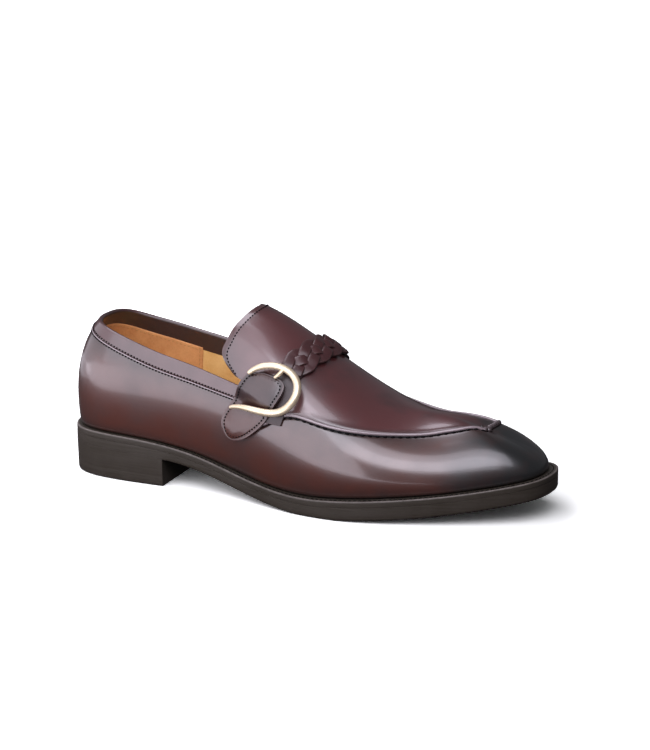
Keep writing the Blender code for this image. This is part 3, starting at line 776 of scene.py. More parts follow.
class LoaferSizes(bpy.types.PropertyGroup):
    bead: length("Apron bead", "Radius of the bead along the apron seam", 0.95)
    rim: length("Collar rim", "Radius of the rolled collar edge", 1.45)
    facing: length("Collar facing", "Depth of the dark strip inside the collar", 12.0)
    tongue_row: length("Tongue row", "Distance of the tongue's stitching from its edge", 4.0)
    stitch: length("Stitch pitch", "Pitch of the machine stitching", 2.1)
    hand_stitch: length("Hand stitch pitch", "Pitch of the stitches under the apron bead", 4.4)
    welt_stitch: length("Welt stitch pitch", "Pitch of the stitching on the welt", 3.0)
    plait_pitch: length("Plait pitch", "Length of one full turn of a strand", 52.0)
    plait: length("Plait width", "Width of the finished plait", 18.6)
    strand: length("Strand width", "Width of one flat strand", 6.8)
    wire: length("Buckle wire", "Radius of the hook buckle's wire", 2.3)
    strands: IntProperty(name="Strands", description="Strands in the plait", default=4,
                         min=3, max=6)


class LoaferColours(bpy.types.PropertyGroup):
    # these leathers go darker, towards calf_dark or the toe colour, where the darkening share is
    # high: real burnish and blackened toe, and painted shade
    calf: colour("Calf", "Upper leather where it is least burnished", (0.070, 0.018, 0.0105))
    apron: colour("Apron", "Apron, tongue and collar leather", (0.080, 0.021, 0.021))
    calf_dark: colour("Calf, dark", "Upper leather where it is darkest", (0.020, 0.008, 0.0075))
    toe: colour("Toe", "Blackened toe", (0.0075, 0.0085, 0.0085))
    strap: colour("Strap", "Plait and under strap", (0.055, 0.016, 0.0165))
    # pale grey bead colour: a painted highlight standing in for the bead's sheen
    bead: colour("Apron bead", "Waxed bead along the apron seam", (0.24, 0.19, 0.20))
    # pale edge colour: rubbed wear, and on the welt's top edge, collar rim, plait and strap edges
    # a painted highlight
    rubbed: colour("Rubbed edge", "Cut and handled edges", (0.15, 0.085, 0.08))
    facing: colour("Facing", "Strip inside the collar", (0.050, 0.026, 0.014))
    lining: colour("Lining", "Forward lining", (0.88, 0.58, 0.21))
    lining_deep: colour("Lining, deep", "Forward lining's darker mottle", (0.74, 0.43, 0.13))
    grip: colour("Heel grip", "Napped lining at the heel", (0.74, 0.37, 0.13))
    grip_deep: colour("Heel grip, deep", "Its darker mottle", (0.55, 0.23, 0.07))
    sole: colour("Sole edge", "Inked sole edge and heel", (0.027, 0.022, 0.0145))
    # pale sole colour: rubbed ink, and along the welt's top edge a painted highlight
    sole_light: colour("Sole edge, rubbed", "Where the ink is rubbed", (0.20, 0.175, 0.16))
    gold: colour("Buckle", "Plated buckle", (0.78, 0.67, 0.48))
    gold_deep: colour("Buckle, deep", "Plated buckle's haze", (0.68, 0.54, 0.35))


def begin(context):
    """Make the finishes and give the sizes in millimetres, by name."""
    make_finishes(context.scene.loafer_colours)
    sizes = context.scene.loafer_sizes
    lengths = [key for key in LoaferSizes.__annotations__ if key != "strands"]
    return {key: getattr(sizes, key) / MM for key in lengths}


# --- sole ---
def swept_rim(columns, rows, reach):
    """Closed rim run from the heel to station reach; each row gives its place in plan
    at a station, its height at x and its pale share, rubbed wear and painted highlight."""
    def place(u, v):
        row = np.rint(v * len(rows)).astype(int) % len(rows)
        points, rubbed_and_lit = np.zeros((len(u), 3)), np.zeros(len(u))
        for j, (plan, height, rubbed) in enumerate(rows):
            pick = row == j
            xy = plan(u[pick] * reach)
            points[pick] = np.column_stack([xy, height(xy[:, 0])])
            rubbed_and_lit[pick] = rubbed
        return points, {"rubbed": rubbed_and_lit}
    return mapped_grid(columns, len(rows), place)


def block(columns, edge, reach=1.0):
    """Closed block from the heel to station reach. edge lists, from the top down,
    (inset, height of x, pale share of rubbed wear and painted highlight) rows of its rim."""
    across = 14              # spans across its faces

    def plan(share, inset):
        def at(k):
            deep = inset(ring_xy(k)[:, 0]) if callable(inset) else inset
            xy = ring_xy(k, deep) * (1 - share) + ring_xy(2 - k, deep) * share
            if reach < 1:
                xy[k > reach - 1e-6, 0] = HEEL_LENGTH
            return xy
        return at
    loop = [(0.0, *row) for row in edge]
    loop += [(i / across, *edge[-1][:2], 0.0) for i in range(1, across)]
    loop += [(1.0, *row) for row in edge[::-1]]
    loop += [(1 - i / across, *edge[0][:2], 0.0) for i in range(1, across)]
    bm = swept_rim(columns, [(plan(*row[:2]), *row[2:]) for row in loop], reach)
    fill_ends(bm)
    return bm


def above(base, share, offset=0.0):
    """Height function: a share of base plus an offset."""
    return lambda x: base(x) * share + offset


def feather(offset):
    return above(FEATHER_Z, 1.0, offset)


class LOAFER_OT_sole(bpy.types.Operator):
    """Outsole, heel block and welt with its stitching"""
    bl_idname = "loafer.sole"
    bl_label = "Sole, heel and welt"

    def execute(self, context):
        sizes = begin(context)
        top = feather(-WELT_THICK - WELT_JOINT)

        def down(share, offset=0.0):
            return lambda x: top(x) * (1 - share) + outsole_bottom(x) * share + offset

        def bare(x):
            return ease(x, HEEL_LENGTH - 2.0, HEEL_LENGTH + 10.0)
        edge = [
            (0.15, top, 0.0), (0.03, down(0, -0.08), 0.0), (0.0, down(0.12), 0.0),
            (0.0, down(0.55), 0.0), (0.0, down(0.82), 0.0),
            (lambda x: 0.3 * bare(x), down(0.94), 0.05),
            (lambda x: 0.05 + 0.95 * bare(x), down(1.0), 0.05), (4.2, down(1.0), 0.0),
            (4.5, down(1.0, 0.35), 0.0), (4.9, down(1.0, 0.35), 0.0), (5.2, down(1.0), 0.0)]
        add_piece(block(230, edge), "outsole_leather", "sole_ink", ["outsole"], sharp=40)

        base = above(outsole_bottom, 1, -HEEL_JOINT)
        edge = [(0.05, base, 0.0)] + [
            (inset, above(base, share, offset), rubbed) for inset, share, offset, rubbed in (
                (0.0, 1, -0.06, 0.0), (0.05, 0.9, 0.0, 0.0), (0.25, 0.62, 0.0, 0.0),
                (0.38, 0.36, 0.0, 0.0), (0.42, 0.345, 0.0, 0.0), (0.40, 0.33, 0.0, 0.0),
                (0.48, 0.15, 0.0, 0.0), (0.55, 0.0, 0.9, 0.05), (0.8, 0.0, 0.3, 0.1),
                (1.3, 0.0, 0.0, 0.05))]
        add_piece(block(90, edge, float(station_at(HEEL_LENGTH))), "heel_stack", "sole_ink",
                  ["heel"], sharp=40)

        def plan(inset, under):
            return lambda k: ring_xy(k, inset + under * welt_show(k))
        # inset, whether that is counted from the upper, height over the feather line, pale share;
        # the top outer edge rows are pale, a painted highlight line with some rubbed wear
        rows = [(plan(inset, under), feather(height), rubbed)
                for inset, under, height, rubbed in (
                    (WELT_INSET, 1, 0.0, 0.0), (0.3, 1, 0.0, 0.0), (-0.9, 1, 0.0, 0.0),
                    (1.5, 0, -0.02, 0.0), (0.9, 0, 0.12, 0.75), (0.35, 0, 0.08, 1.0),
                    (0.06, 0, -0.22, 0.5), (0.0, 0, -0.8, 0.0),
                    (0.0, 0, 0.7 - WELT_THICK, 0.0), (0.03, 0, 0.08 - WELT_THICK, 0.0),
                    (0.15, 0, -WELT_THICK, 0.0), (WELT_INSET, 1, -WELT_THICK, 0.0))]
        bm = swept_rim(560, rows, 2.0)
        bmesh.ops.recalc_face_normals(bm, faces=bm.faces)
        add_piece(bm, "welt_strip", "sole_ink", ["welt"], sharp=50)
        k = np.linspace(0.30, 1.70, 900)
        xy = ring_xy(k, 0.52 * welt_show(k))
        points = np.column_stack([xy, FEATHER_Z(xy[:, 0]) + 0.06])
        up_way = np.tile([0.0, 0.0, 1.0], (len(k), 1))
        stitches("welt_stitching", [(points, up_way)], sizes["welt_stitch"], length=2.2,
                 width=0.7)
        return {"FINISHED"}


# --- upper ---
def toe_share(p):
    """How far the blackened toe has taken over, from its fade line to the tip."""
    return ease(p[:, 0] - 0.10 * (p[:, 1] - 5.0), 228.0, 276.0)


class LOAFER_OT_vamp(bpy.types.Operator):
    """Side wall of the upper, from the welt to the collar band and apron seam"""
    bl_idname = "loafer.vamp"
    bl_label = "Side wall"

    def execute(self, context):
        begin(context)
        columns = (0, 170, 190, 80, 180, 170)
        share = np.cumsum(columns) / sum(columns)

        def place(u, v):
            k = np.interp(u, share, (0.0, 0.452, 0.899, 1.146, 1.548, 2.0))
            seam = seam_rise(k)
            foot_rate = rise_rate(k, 0 * k + 0.02)
            foot = 0.3 / foot_rate
            t = foot + (seam - foot) * (1 - (1 - v) ** 1.6)
            below = (seam - t) * rise_rate(k, seam)
            height = (t - foot) * foot_rate
            a, _ = fold(k)
            rear = 1 - ease(a, 0.43, 0.47)
            pinch = -0.75 * hump(below, 0.9, 1.0) * (1 - 0.6 * rear)
            tuck = -0.9 * clip01(1 - height / 1.6) ** 2
            p = skin(k, t, pinch + tuck)
            # painted shade: darker under the seam and in its groove, and over the lowest 9 mm
            # where the upper tucks into the welt; also darker round the heel back; the blackened
            # toe is the leather's own
            seam_shade = 0.45 * hump(below, 0, 9.0) + 0.8 * (1 - rear) * hump(below, 0, 1.9)
            low = 0.45 * (1 - ease(height, 0.0, 9.0))
            dark = clip01(0.10 + low + seam_shade + 0.30 * (1 - ease(along(a), 0, 26)))
            return p, {"burnish": np.maximum(dark, toe_share(p)), "rubbed": 0 * t}
        bm = mapped_grid(sum(columns), 52, place)
        add_piece(bm, "side_wall", "toe_calf", ["upper"], wall=1.2)
        return {"FINISHED"}


def seam_path(k, lift, shift=0.0):
    """Points and outward directions along the seam, shifted up the section in mm."""
    t = seam_rise(k)
    return lay(k, t + shift / rise_rate(k, t), lift)


class LOAFER_OT_apron(bpy.types.Operator):
    """Apron over the toes, its bead, front roll and hand stitching"""
    bl_idname = "loafer.apron"
    bl_label = "Apron"

    def execute(self, context):
        sizes = begin(context)
        near, front, far = 0.455, 0.9, 1.0
        rows = 101                    # odd, so that the throat lies between two rows
        middle = 1 / rows

        def place(u, v):
            a = np.interp(u, (0, 0.62, 1), (near, front, far))
            outer, inner = seam_rise(a), seam_rise(2 - a)
            across = 2 * v - 1
            reach = 1 - clip01((np.abs(across) - middle) / (1 - middle)) ** 1.25
            k = np.where(across < 0, a, 2 - a)
            seam = np.where(across < 0, outer, inner)
            t = seam + (throat_rise(a) - seam) * reach
            inside = (t - seam) * rise_rate(k, seam)
            lift = 0.35 * hump(inside, 1.8, 1.6) - 0.5 * hump(inside, 0, 0.8)
            p = skin(k, t, lift * (1 - ease(t, 0.90, 1.0) * (a > 0.93)))
            # painted shade in the groove just inside the seam; towards the tip, the leather's own
            # blackened toe
            dark = np.maximum(0.05 + 0.45 * hump(inside, 0, 4.0), 0.75 * ease(p[:, 0], 236, 268))
            return p, {"burnish": dark, "rubbed": 0 * t}
        bm = mapped_grid(220, rows, place)
        uv = bm.loops.layers.uv.active
        open_throat = [
            f for f in bm.faces
            if abs(sum(loop[uv].uv.y for loop in f.loops) / len(f.loops) - 0.5) < 0.5 * middle]
        bmesh.ops.delete(bm, geom=open_throat, context="FACES")
        add_piece(bm, "apron", "apron_calf", wall=1.2)

        for name, ends in (("apron_bead_outer", (0.462, 0.901)),
                           ("apron_bead_inner", (1.144, 1.530))):
            k = np.linspace(*ends, 260)
            path, out = seam_path(k, 0.25)
            taper = sizes["bead"] * blunt(k - ends[0], 0.004)
            bm = tube(path, out, taper, taper, turns=12)
            paint(bm, rubbed=1.0)
            add_piece(bm, name, "bead_painted_sheen")
        path, out = seam_path(np.linspace(0.893, 1.151, 240), 0.35)
        s = arc_length(path)
        ribs = blunt(s, 1.6) * (1.1 + 0.4 * np.abs(np.sin(math.pi * s / 2.1)))
        bm = tube(path, out, ribs * 1.15, ribs, turns=12)
        paint(bm, burnish=0.75)
        add_piece(bm, "apron_front_roll", "bead_painted_sheen")
        rows = [seam_path(np.linspace(*ends, 500), 0.05, -1.75)
                for ends in ((0.480, 0.900), (1.146, 1.505))]
        stitches("apron_hand_stitching", rows, sizes["hand_stitch"], length=2.6,
                 width=1.2)
        rows = [seam_path(np.linspace(0.90, 1.145, 200), 1.0)]
        stitches("front_roll_stitching", rows, pitch=2.1, length=3.2, width=0.8, slant=62)
        return {"FINISHED"}


class LOAFER_OT_collar(bpy.types.Operator):
    """Collar band folded over the rim, with its bead and double stitching"""
    bl_idname = "loafer.collar"
    bl_label = "Collar band"

    def execute(self, context):
        sizes = begin(context)
        rim, deep = sizes["rim"], sizes["facing"]
        start, end = -0.478, 0.455
        # shares of the band's width: its fold, and where the inside's dark strip begins
        fold_start, fold_end, facing_start = 0.42, 0.62, 0.56

        def place(u, v):
            k = start + (end - start) * u
            top = upper_top(k)
            rate = rise_rate(k, top)
            seam = seam_rise(k)
            crown = top - rim / rate
            turn = math.pi * clip01((v - fold_start) / (fold_end - fold_start))
            outer = seam + (crown - seam) * clip01(v / fold_start)
            inner = crown - (deep - rim) / rate * clip01((v - fold_end) / (1 - fold_end))
            t = np.where(v < fold_end, crown + np.sin(turn) * rim / rate, inner)
            t = np.where(v <= fold_start, outer, t)
            low = clip01(1 - (outer - seam) * rate) * (v <= fold_start)
            p = skin(k, t, 0.35 - rim * (1 - np.cos(turn)) - 0.8 * low ** 2)
            # darker all over and most at the heel back; the rolled rim's crown is paler, a
            # painted highlight line with some rubbed wear
            dark = 0.45 + 0.3 * hump(along(fold(k)[0]), 0, 14.0)
            return p, {"burnish": dark, "rubbed": 0.35 * np.sin(turn) ** 2}
        band = add_piece(mapped_grid(420, 48, place), "collar_band", "upper_finish", wall=0.7)
        band.data.materials.append(bpy.data.materials["collar_facing"])
        uv = band.data.uv_layers[0].data
        for face in band.data.polygons:
            if sum(uv[i].uv.y for i in face.loop_indices) / face.loop_total > facing_start:
                face.material_index = 1
        k = np.linspace(start + 0.01, end - 0.002, 400)
        path, out = seam_path(k, 0.28, -0.15)
        taper = np.full(k.shape, 0.4)
        add_piece(tube(path, out, taper, taper, turns=10), "collar_bead", "bead_painted_sheen")
        rows = [seam_path(k, 0.5, 1.25), seam_path(k, 0.2, -1.15)]
        stitches("collar_stitching", rows, sizes["stitch"], length=1.45, width=0.85)
        return {"FINISHED"}


class LOAFER_OT_tongue(bpy.types.Operator):
    """Tongue with its edge stitching and lining"""
    bl_idname = "loafer.tongue"
    bl_label = "Tongue"

    def execute(self, context):
        sizes = begin(context)
        there = np.append(TONGUE[:, 0], 2 - TONGUE[-2::-1, 0])
        rear_at = spline(there, np.append(TONGUE[:, 1], TONGUE[-2::-1, 1]))
        row = sizes["tongue_row"]
        low = 0.437

        def place(u, v, sink=0.0, margin=0.0):
            t = low + (2 - 2 * low) * v
            up = np.where(t > 1, 2 - t, t)
            rear = rear_at(t)
            front = np.interp(up, THROAT[:, 0], THROAT[:, 1]) - 0.0012
            rate = run_rate(rear, t)
            rear = rear + margin / rate
            k = rear + (front - rear) * u ** 1.3
            from_edge = (k - rear) * rate + margin
            near = clip01(1 - from_edge / row)
            dark = 0.45 * hump(from_edge, 0, 9.0) + 0.25 * (1 - ease(up, 0.45, 0.75))
            p = skin(k, t, -0.9 * near ** 1.4 - sink)
            return p, {"burnish": dark, "rubbed": 0.5 * ease(near, 0.6, 1.0)}
        add_piece(mapped_grid(70, 150, place), "tongue_leather", "upper_finish", ["tongue"],
                  wall=1.7, rounding=0.5)
        bm = mapped_grid(40, 110, lambda u, v: place(u, v, 1.85, 0.8))
        add_piece(bm, "tongue_lining", "lining_finish", wall=0.9)
        t = np.linspace(low + 0.01, 2 - low - 0.01, 400)
        k = rear_at(t) + row / run_rate(rear_at(t), t)
        stitches("tongue_stitching", [lay(k, t, 0.1)], sizes["stitch"], length=1.5, width=0.95)
        return {"FINISHED"}


class LOAFER_OT_lining(bpy.types.Operator):
    """Lining, napped heel grip and insole sock"""
    bl_idname = "loafer.lining"
    bl_label = "Lining and sock"

    def execute(self, context):
        deep = begin(context)["facing"]

        def below_rim(k, drop):
            top = upper_top(k)
            return top - drop / rise_rate(k, top)

        def place(u, v):
            k = 2 - 2 * u
            a, _ = fold(k)
            top = np.where(a < THROAT[0, 1], below_rim(k, deep - 3.0), throat_rise(a))
            return skin(k, 0.004 + (top - 0.004) * v, -LINING_DEPTH)
        add_piece(mapped_grid(300, 40, place), "lining", "lining_finish", wall=-0.6)

        reach = float(station_at(GRIP_LENGTH))

        def grip(u, v):
            k = reach - 2 * reach * u
            t = 0.02 + (below_rim(k, deep - 1.5) - 0.02) * v
            edge = np.minimum(np.minimum(u, 1 - u) * 2 * reach * run_rate(k, t),
                              (1 - v) * rise_rate(k, t) * t)
            return skin(k, t, -2.75 + 0.25 * clip01(1 - edge))
        add_piece(mapped_grid(150, 40, grip), "heel_grip", "heel_suede", wall=0.3)
        k = np.linspace(reach - 0.002, -reach + 0.002, 300)
        seams = [(k, below_rim(k, deep + 0.6))]
        for side in (reach - 0.006, -reach + 0.006):
            t = np.linspace(0.05, 0.9, 60) * float(upper_top(np.array([side]))[0]) * 0.88
            seams.append((np.full(t.shape, side), t))
        rows = [(skin(k, t, -2.8), -normal(k, t)) for k, t in seams]
        stitches("grip_stitching", rows, pitch=2.6, length=1.7, width=0.5, finish="tan_thread")

        def sock(u, v):
            near = ring_xy(u, welt_show(u) + SOCK_INSET)
            far = ring_xy(2 - u, welt_show(2 - u) + SOCK_INSET)
            xy = near * (1 - v)[:, None] + far * v[:, None]
            share = 1 - (2 * v - 1) ** 2
            dish = (0.9 * (1 - share) ** 2 - 0.3 * share) * np.sin(math.pi * clip01(u)) ** 0.3
            return np.column_stack([xy, FEATHER_Z(xy[:, 0]) + SOCK_RISE + dish])
        add_piece(mapped_grid(160, 36, sock), "sock", "lining_finish", ["insole"], wall=2.0)
        return {"FINISHED"}


# --- strap and buckle ---
def edge_shares(u, v, wide, tall):
    """Distance to the nearest edge of a strap, in millimetres."""
    return np.minimum(np.minimum(u, 1 - u) * wide, np.minimum(v, 1 - v) * tall)


def outline_row(patch, corners, inset, lift):
    """A closed row of points inside an outline drawn on a patch."""
    loop = np.vstack([corners, corners[:1]])
    s = arc_length(loop)
    p, q = follow(np.linspace(0, s[-1], 260), s, loop).T
    step = unit(np.stack([np.gradient(p), np.gradient(q)], -1))
    p, q = p - step[:, 1] * inset, q + step[:, 0] * inset
    return lay(*patch.stations(p, q), lift(p, q))


class LOAFER_OT_straps(bpy.types.Operator):
    """Stitched strap end, the flat strap under it and its far end"""
    bl_idname = "loafer.straps"
    bl_label = "Strap ends"

    def execute(self, context):
        sizes = begin(context)
        sides = [spline(np.linspace(0, 1, len(TAB)), column) for column in TAB.T]

        def tab_top(p, q):
            """Height of the tab's face: it swells over the strap and dips just below it."""
            high = ease(q, -14.0, -3.0)
            over_strap = ease(p, -1.0, 5.0) * ease(q, -22.0, -16.0)
            low = 0.4 * over_strap + 1.5 * ease(-q, 15.0, 34.0)
            lift = 0.35 + 2.3 * high + low * (1 - high)
            return lift + 2.3 + 0.9 * hump(q, -1.5, 5.5) - 0.5 * hump(q, -14.0, 4.5)

        def outline(v):
            return [side(v) for side in sides]

        def place(u, v):
            v = 0.5 - 0.5 * np.cos(math.pi * v)
            lp, lq, rp, rq = outline(v)
            p, q = rp + (lp - rp) * u, rq + (lq - rq) * u
            edge = edge_shares(u, v, np.hypot(rp - lp, rq - lq), 46)
            crown = 0.4 * ease(edge, 1.5, 8.0) - 0.25 * hump(edge, 2.1, 0.5)
            point = skin(*OUTER_PATCH.stations(p, q), tab_top(p, q) + crown)
            # painted shade over the tab's upper part under the buckle, kept off a painted lit
            # patch at its upper left; darker near the edges, and the cut edges paler, partly a
            # painted highlight
            lit = 0.75 * ease(q, 3.0, 13.0) * ease(-p, -6.0, 4.0)
            dark = 0.1 + 0.75 * ease(q, -16.0, -9.0) * (1 - lit) + 0.4 * hump(edge, 0, 3.0)
            return point, {"burnish": clip01(dark), "rubbed": ease(-edge, -1.1, -0.1)}
        add_piece(mapped_grid(40, 84, place), "strap_end_leather", "tab_finish", ["strap_end"],
                  wall=2.1, rounding=0.4)
        lp, lq, rp, rq = outline(np.linspace(0.02, 0.98, 120))
        corners = np.vstack([np.column_stack([lp, lq]), np.column_stack([rp, rq])[::-1]])
        row = outline_row(OUTER_PATCH, corners, 2.0, lambda p, q: tab_top(p, q) - 0.05)
        stitches("strap_end_stitching", [row], sizes["stitch"], length=1.5, width=0.9)

        corners = np.array([(17.2, 14.2), (1.0, 20.6), (21.0, -12.6), (8.5, -17.0)])

        def under(u, v):
            p, q = [(1 - v) * ((1 - u) * c[0] + u * c[1]) + v * ((1 - u) * c[2] + u * c[3])
                    for c in corners.T]
            edge = edge_shares(u, v, 15.0, 36.0)
            lift = 1.3 + 0.7 * ease(q, -8.0, 4.0) + 0.12 * ease(edge, 0.5, 3.0)
            # painted shade: the whole strap at its darkest tone, as it lies in the buckle's
            # shadow; its lower end's edges paler, partly a painted highlight
            rubbed = 0.9 * ease(-edge, -1.0, -0.1) * ease(-q, 12.0, 15.0)
            point = skin(*OUTER_PATCH.stations(p, q), lift)
            return point, {"burnish": 1 + 0 * u, "rubbed": rubbed}
        add_piece(mapped_grid(24, 48, under), "under_strap_leather", "strap_finish",
                  ["under_strap"], wall=1.1, rounding=0.25)

        def inner(u, v):
            edge = edge_shares(u, v, 26.0, 15.0)
            lift = 2.4 + 0.3 * ease(edge, 0.5, 5.0) - 0.2 * hump(edge, 2.0, 0.5)
            point = skin(*INNER_PATCH.stations(-13 + 26 * u, -7.5 + 15 * v), lift)
            return point, {"burnish": 0.3 + 0 * u, "rubbed": 0.8 * ease(-edge, -1.0, -0.1)}
        add_piece(mapped_grid(40, 26, inner), "inner_strap_leather", "strap_finish",
                  ["inner_strap"], wall=2.1, rounding=0.45)
        corners = np.array([(-13.0, -7.5), (13.0, -7.5), (13.0, 7.5), (-13.0, 7.5)])
        row = outline_row(INNER_PATCH, corners, 2.0, lambda p, q: 2.5)
        stitches("inner_strap_stitching", [row], sizes["stitch"], length=1.5, width=0.55)
        return {"FINISHED"}


def strap_stations(rise, reach):
    """Station, at a rise, that lies reach (mm) ahead of the strap's middle plane."""
    forward = unit(BRAID_FORWARD)
    middle = form(BRAID_STATION, 1.0) @ forward
    k = np.full(rise.shape, BRAID_STATION)
    for _ in range(12):
        miss = form(k, rise) @ forward - middle - reach
        k = k - np.clip(miss / (run_slope(k, rise, 1e-4) @ forward), -0.03, 0.03)
    return k


class LOAFER_OT_plait(bpy.types.Operator):
    """Flat plait over the instep"""
    bl_idname = "loafer.plait"
    bl_label = "Plaited strap"

    def execute(self, context):
        sizes = begin(context)
        count = context.scene.loafer_sizes.strands
        pitch, wide = sizes["plait_pitch"], sizes["strand"]
        rise = np.linspace(BRAID_ENDS[0] - 0.02, BRAID_ENDS[1] + 0.02, 300)
        s_mid = arc_length(form(strap_stations(rise, 0), rise))

        def strap_point(s, reach, lift):
            r = np.interp(s, s_mid, rise)
            return lay(strap_stations(r, reach), r, lift)
        half = sizes["plait"] / 2 - wide * 0.5
        corner = 0.96             # towards 1 the strands turn back more sharply
        first = 3.4               # first strand's start, in millimetres of the pitch
        s = np.linspace(0, s_mid[-1], 520)
        # over and under in turn at each crossing, level where a strand turns back
        knot = np.arange(2 * count + 1)
        high = np.where(knot < count, 1.0, -1.0) * (-1.0) ** knot
        high[[0, count, 2 * count]] = 0.0
        for strand in range(count):
            phase = (s + first) / pitch + strand / count
            swing = np.arcsin(corner * np.sin(2 * math.pi * phase)) / math.asin(corner)
            crossing = (phase % 1.0 + 0.25) % 1.0 * 2 * count
            i = np.clip(crossing.astype(int), 0, 2 * count - 1)
            share = 0.5 - 0.5 * np.cos(math.pi * (crossing - i))
            height = high[i] * (1 - share) + high[i + 1] * share
            path, out = strap_point(s, half * swing, 2.5 + 1.0 * height)
            ends = blunt(s, 0.8)
            bm = tube(path, out, ends * wide / 2, ends * 0.85, boxy=0.6)
            uv = bm.loops.layers.uv.active
            # painted shade at each strand's sides, where it dips into the plait's gaps, and a
            # paler band just inside them, partly rubbed wear and partly a painted highlight
            layer = bm.verts.layers.float.new("rubbed")
            shade = bm.verts.layers.float.new("burnish")
            for face in bm.faces:
                for loop in face.loops:
                    across = abs(math.cos(2 * math.pi * loop[uv].uv.y))
                    loop.vert[layer] = 0.5 * max(0.0, 1 - abs(across - 0.8) / 0.2)
                    loop.vert[shade] = 0.25 + 0.75 * max(0.0, (across - 0.85) / 0.15)
            add_piece(bm, "plait_strand_%d" % (strand + 1), "strap_finish",
                      ["braid"] if strand == 0 else [])
        path, out = strap_point(s, 0, 0.85)
        add_piece(tube(path, out, 0 * s + 7.6, 0 * s + 0.5), "plait_backing", "strap_finish")
        return {"FINISHED"}


def wire_line(table, steps):
    """A wire's columns read off along it at even steps."""
    rows = np.linspace(0, 1, len(table))
    return [spline(rows, column)(np.linspace(0, 1, steps)) for column in table.T]


def rounded(s, radius):
    """Radius of a wire with round ends."""
    near = np.minimum(s, s[-1] - s)
    return radius * np.sqrt(1 - (1 - clip01(near / radius)) ** 2)


class LOAFER_OT_buckle(bpy.types.Operator):
    """Hook buckle and its short prong"""
    bl_idname = "loafer.buckle"
    bl_label = "Hook buckle"

    def execute(self, context):
        size = begin(context)["wire"]
        p, q, thick = wire_line(HOOK, 220)
        path, out = lay(*OUTER_PATCH.stations(p, q), WIRE_LIFT)
        radius = rounded(arc_length(path), size * thick * 0.98)
        for _ in range(30):
            path[1:-1] = (path[:-2] + 2 * path[1:-1] + path[2:]) / 4
        bm = tube(path, out, radius, radius * 0.92, turns=28)
        add_piece(bm, "hook_buckle", "gold_plate", ["buckle"])
        p, q, drop = wire_line(PRONG, 60)
        path, out = lay(*OUTER_PATCH.stations(p, q), WIRE_LIFT + drop)
        s = arc_length(path)
        radius = rounded(s, np.interp(s / s[-1], (0, 0.5, 1), (1.2, 1.2, 1.0)))
        add_piece(tube(path, out, radius, radius, turns=20), "buckle_prong", "gold_plate")
        return {"FINISHED"}


# --- stage ---
def direction(turn, climb):
    """Unit vector towards a place round the shoe, both angles in degrees."""
    turn, climb = math.radians(turn), math.radians(climb)
    level = math.cos(climb)
    return Vector((math.sin(turn) * level, -math.cos(turn) * level, math.sin(climb)))


REAR_WAY, TOP_WAY = direction(-100, 70), direction(28, 48)
# soft panels: name, centre, facing, width, height, how bright the face is, turn (degrees)
PANELS = (
    ("front_panel", (-0.30, -0.55, 0.375), (0, 1, 0), 0.80, 0.75, 2.4, 0),
    ("right_panel", (0.275, -0.55, 0.515), (0, 1, 0), 0.35, 0.47, 1.9, 0),
    ("slanted_panel", (-0.35, -0.375, 0.90), (0, 0.65, -0.76), 0.70, 0.46, 1.3, 0),
    ("left_panel", (-0.70, -0.15, 0.375), (1, 0, 0), 0.80, 0.75, 1.1, 0),
    ("front_card", (-0.32, -0.32, 0.003), (0, 0, 1), 0.90, 0.40, 2.6, 15),
    ("left_card", (-0.56, 0.04, 0.003), (0, 0, 1), 0.35, 0.40, 1.2, 0),
    ("rear_panel", REAR_WAY * 0.9, -REAR_WAY, 0.5, 0.5, 3.5, 0),
    ("top_panel", TOP_WAY, -TOP_WAY, 0.8, 0.60, 2.8, 0))


def linked(name, data):
    """A new object in the scene."""
    made = bpy.data.objects.new(name, data)
    bpy.context.scene.collection.objects.link(made)
    return made


def soft_panel(name, centre, facing, wide, tall, bright, turn):
    """A diffusing panel beside the shoe, unseen by the camera."""
    lamp = bpy.data.lights.new(name, "AREA")
    lamp.shape = "RECTANGLE"
    lamp.size, lamp.size_y = wide, tall
    lamp.energy = bright * math.pi * wide * tall
    lamp.color = (0.93, 0.895, 1.0)
    made = linked(name, lamp)
    made.location = centre
    made.rotation_euler = Vector(facing).to_track_quat("-Z", "Y").to_euler()
    made.rotation_euler.rotate_axis("Z", math.radians(turn))
    made.visible_camera = False


def make_floor():
    """A floor that shows pale, whiter with distance, and sheds little light itself."""
    bm = bmesh.new()
    bmesh.ops.create_grid(bm, x_segments=8, y_segments=8, size=4.0)
    bmesh.ops.translate(bm, verts=bm.verts, vec=(0, 1.0, -0.0002))
    mesh = bpy.data.meshes.new("floor")
    bm.to_mesh(mesh)
    bm.free()
    w, place, shader = new_material("floor_paper")
    pale = w.blend(w.noise(place, 3.0, 2.0), (1.52, 1.57, 1.46), (1.55, 1.60, 1.49))
    reach = w.add("VectorMath", {0: place}, operation="LENGTH").outputs["Value"]
    pale = w.blend(w.band(reach, 0.22, 1.25), pale, (6.2, 6.3, 5.9))
    seen = w.add("LightPath").outputs["Is Camera Ray"]
    w.feed(shader, {
        "Base Color": w.blend(seen, (0.06, 0.055, 0.055), pale),
        "Roughness": 0.9,
        "Specular IOR Level": 0.0})
    mesh.materials.append(bpy.data.materials["floor_paper"])
    linked("floor", mesh)


def make_world():
    """A white backdrop that sheds a little grey light."""
    world = bpy.data.worlds.new("studio")
    bpy.context.scene.world = world
    world.use_nodes = True
    w = Wiring(world.node_tree)
    seen = w.add("LightPath").outputs["Is Camera Ray"]
    backdrop = world.node_tree.nodes["Background"]
    w.feed(backdrop, {0: w.blend(seen, (0.12, 0.12, 0.13), (1, 1, 1))})


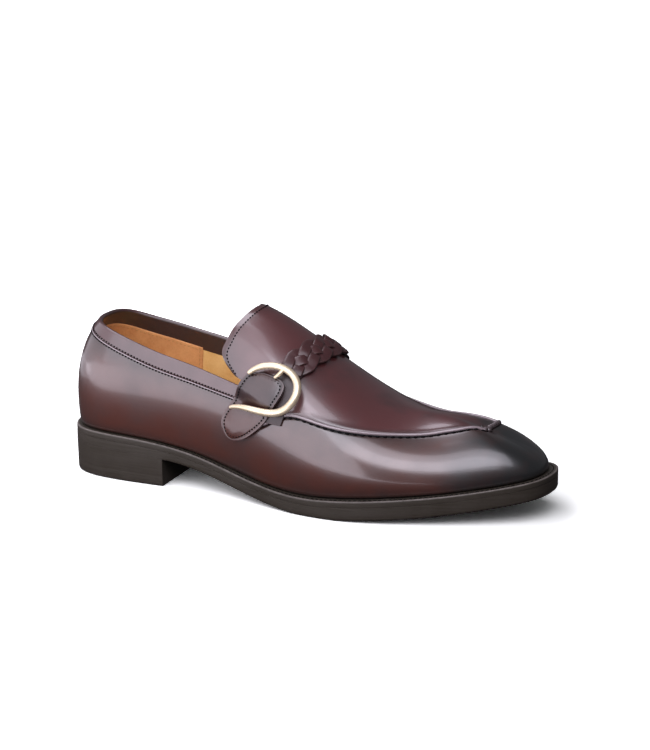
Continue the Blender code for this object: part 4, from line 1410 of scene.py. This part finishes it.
def make_camera():
    """Long lens at the front quarter, a little above the shoe."""
    eye = bpy.data.cameras.new("camera")
    eye.sensor_width, eye.lens, eye.clip_end = 36.0, 177.62, 50.0
    camera = linked("camera", eye)
    back, roll = direction(CAMERA_TURN, CAMERA_CLIMB), math.radians(CAMERA_ROLL)
    right = (-back).cross(Vector((0, 0, 1))).normalized()
    above = back.cross(right)
    right, above = (right * math.cos(roll) + above * math.sin(roll),
                    above * math.cos(roll) - right * math.sin(roll))
    pose = Matrix((right, above, back)).transposed().to_4x4()
    pose.translation = Vector(placed(CAMERA_AIM)) + back * CAMERA_REACH
    camera.matrix_world = pose
    bpy.context.scene.camera = camera


class LOAFER_OT_stage(bpy.types.Operator):
    """Pale floor, soft lights and the camera"""
    bl_idname = "loafer.stage"
    bl_label = "Stage"

    def execute(self, context):
        make_floor()
        make_world()
        for panel in PANELS:
            soft_panel(*panel)
        make_camera()
        context.scene.view_settings.view_transform = "Standard"
        return {"FINISHED"}


class LOAFER_PT_panel(bpy.types.Panel):
    """Builds the shoe piece by piece"""
    bl_idname = "LOAFER_PT_panel"
    bl_label = "Strap Loafer"
    bl_space_type = "VIEW_3D"
    bl_region_type = "UI"
    bl_category = "Loafer"

    def draw(self, context):
        for group in (context.scene.loafer_sizes, context.scene.loafer_colours):
            box = self.layout.box()
            for key in group.__annotations__:
                box.prop(group, key)
        for step in STEPS:
            self.layout.operator(step.bl_idname)


STEPS = (LOAFER_OT_sole, LOAFER_OT_vamp, LOAFER_OT_collar, LOAFER_OT_apron, LOAFER_OT_tongue,
         LOAFER_OT_lining, LOAFER_OT_straps, LOAFER_OT_plait, LOAFER_OT_buckle, LOAFER_OT_stage)
CLASSES = (LoaferSizes, LoaferColours, *STEPS, LOAFER_PT_panel)


def register():
    for each in CLASSES:
        bpy.utils.register_class(each)
    bpy.types.Scene.loafer_sizes = PointerProperty(type=LoaferSizes)
    bpy.types.Scene.loafer_colours = PointerProperty(type=LoaferColours)


def unregister():
    del bpy.types.Scene.loafer_colours
    del bpy.types.Scene.loafer_sizes
    for each in reversed(CLASSES):
        bpy.utils.unregister_class(each)


def main():
    register()
    for step in STEPS:
        group, name = step.bl_idname.split(".")
        getattr(getattr(bpy.ops, group), name)()


if __name__ == "__main__":
    main()
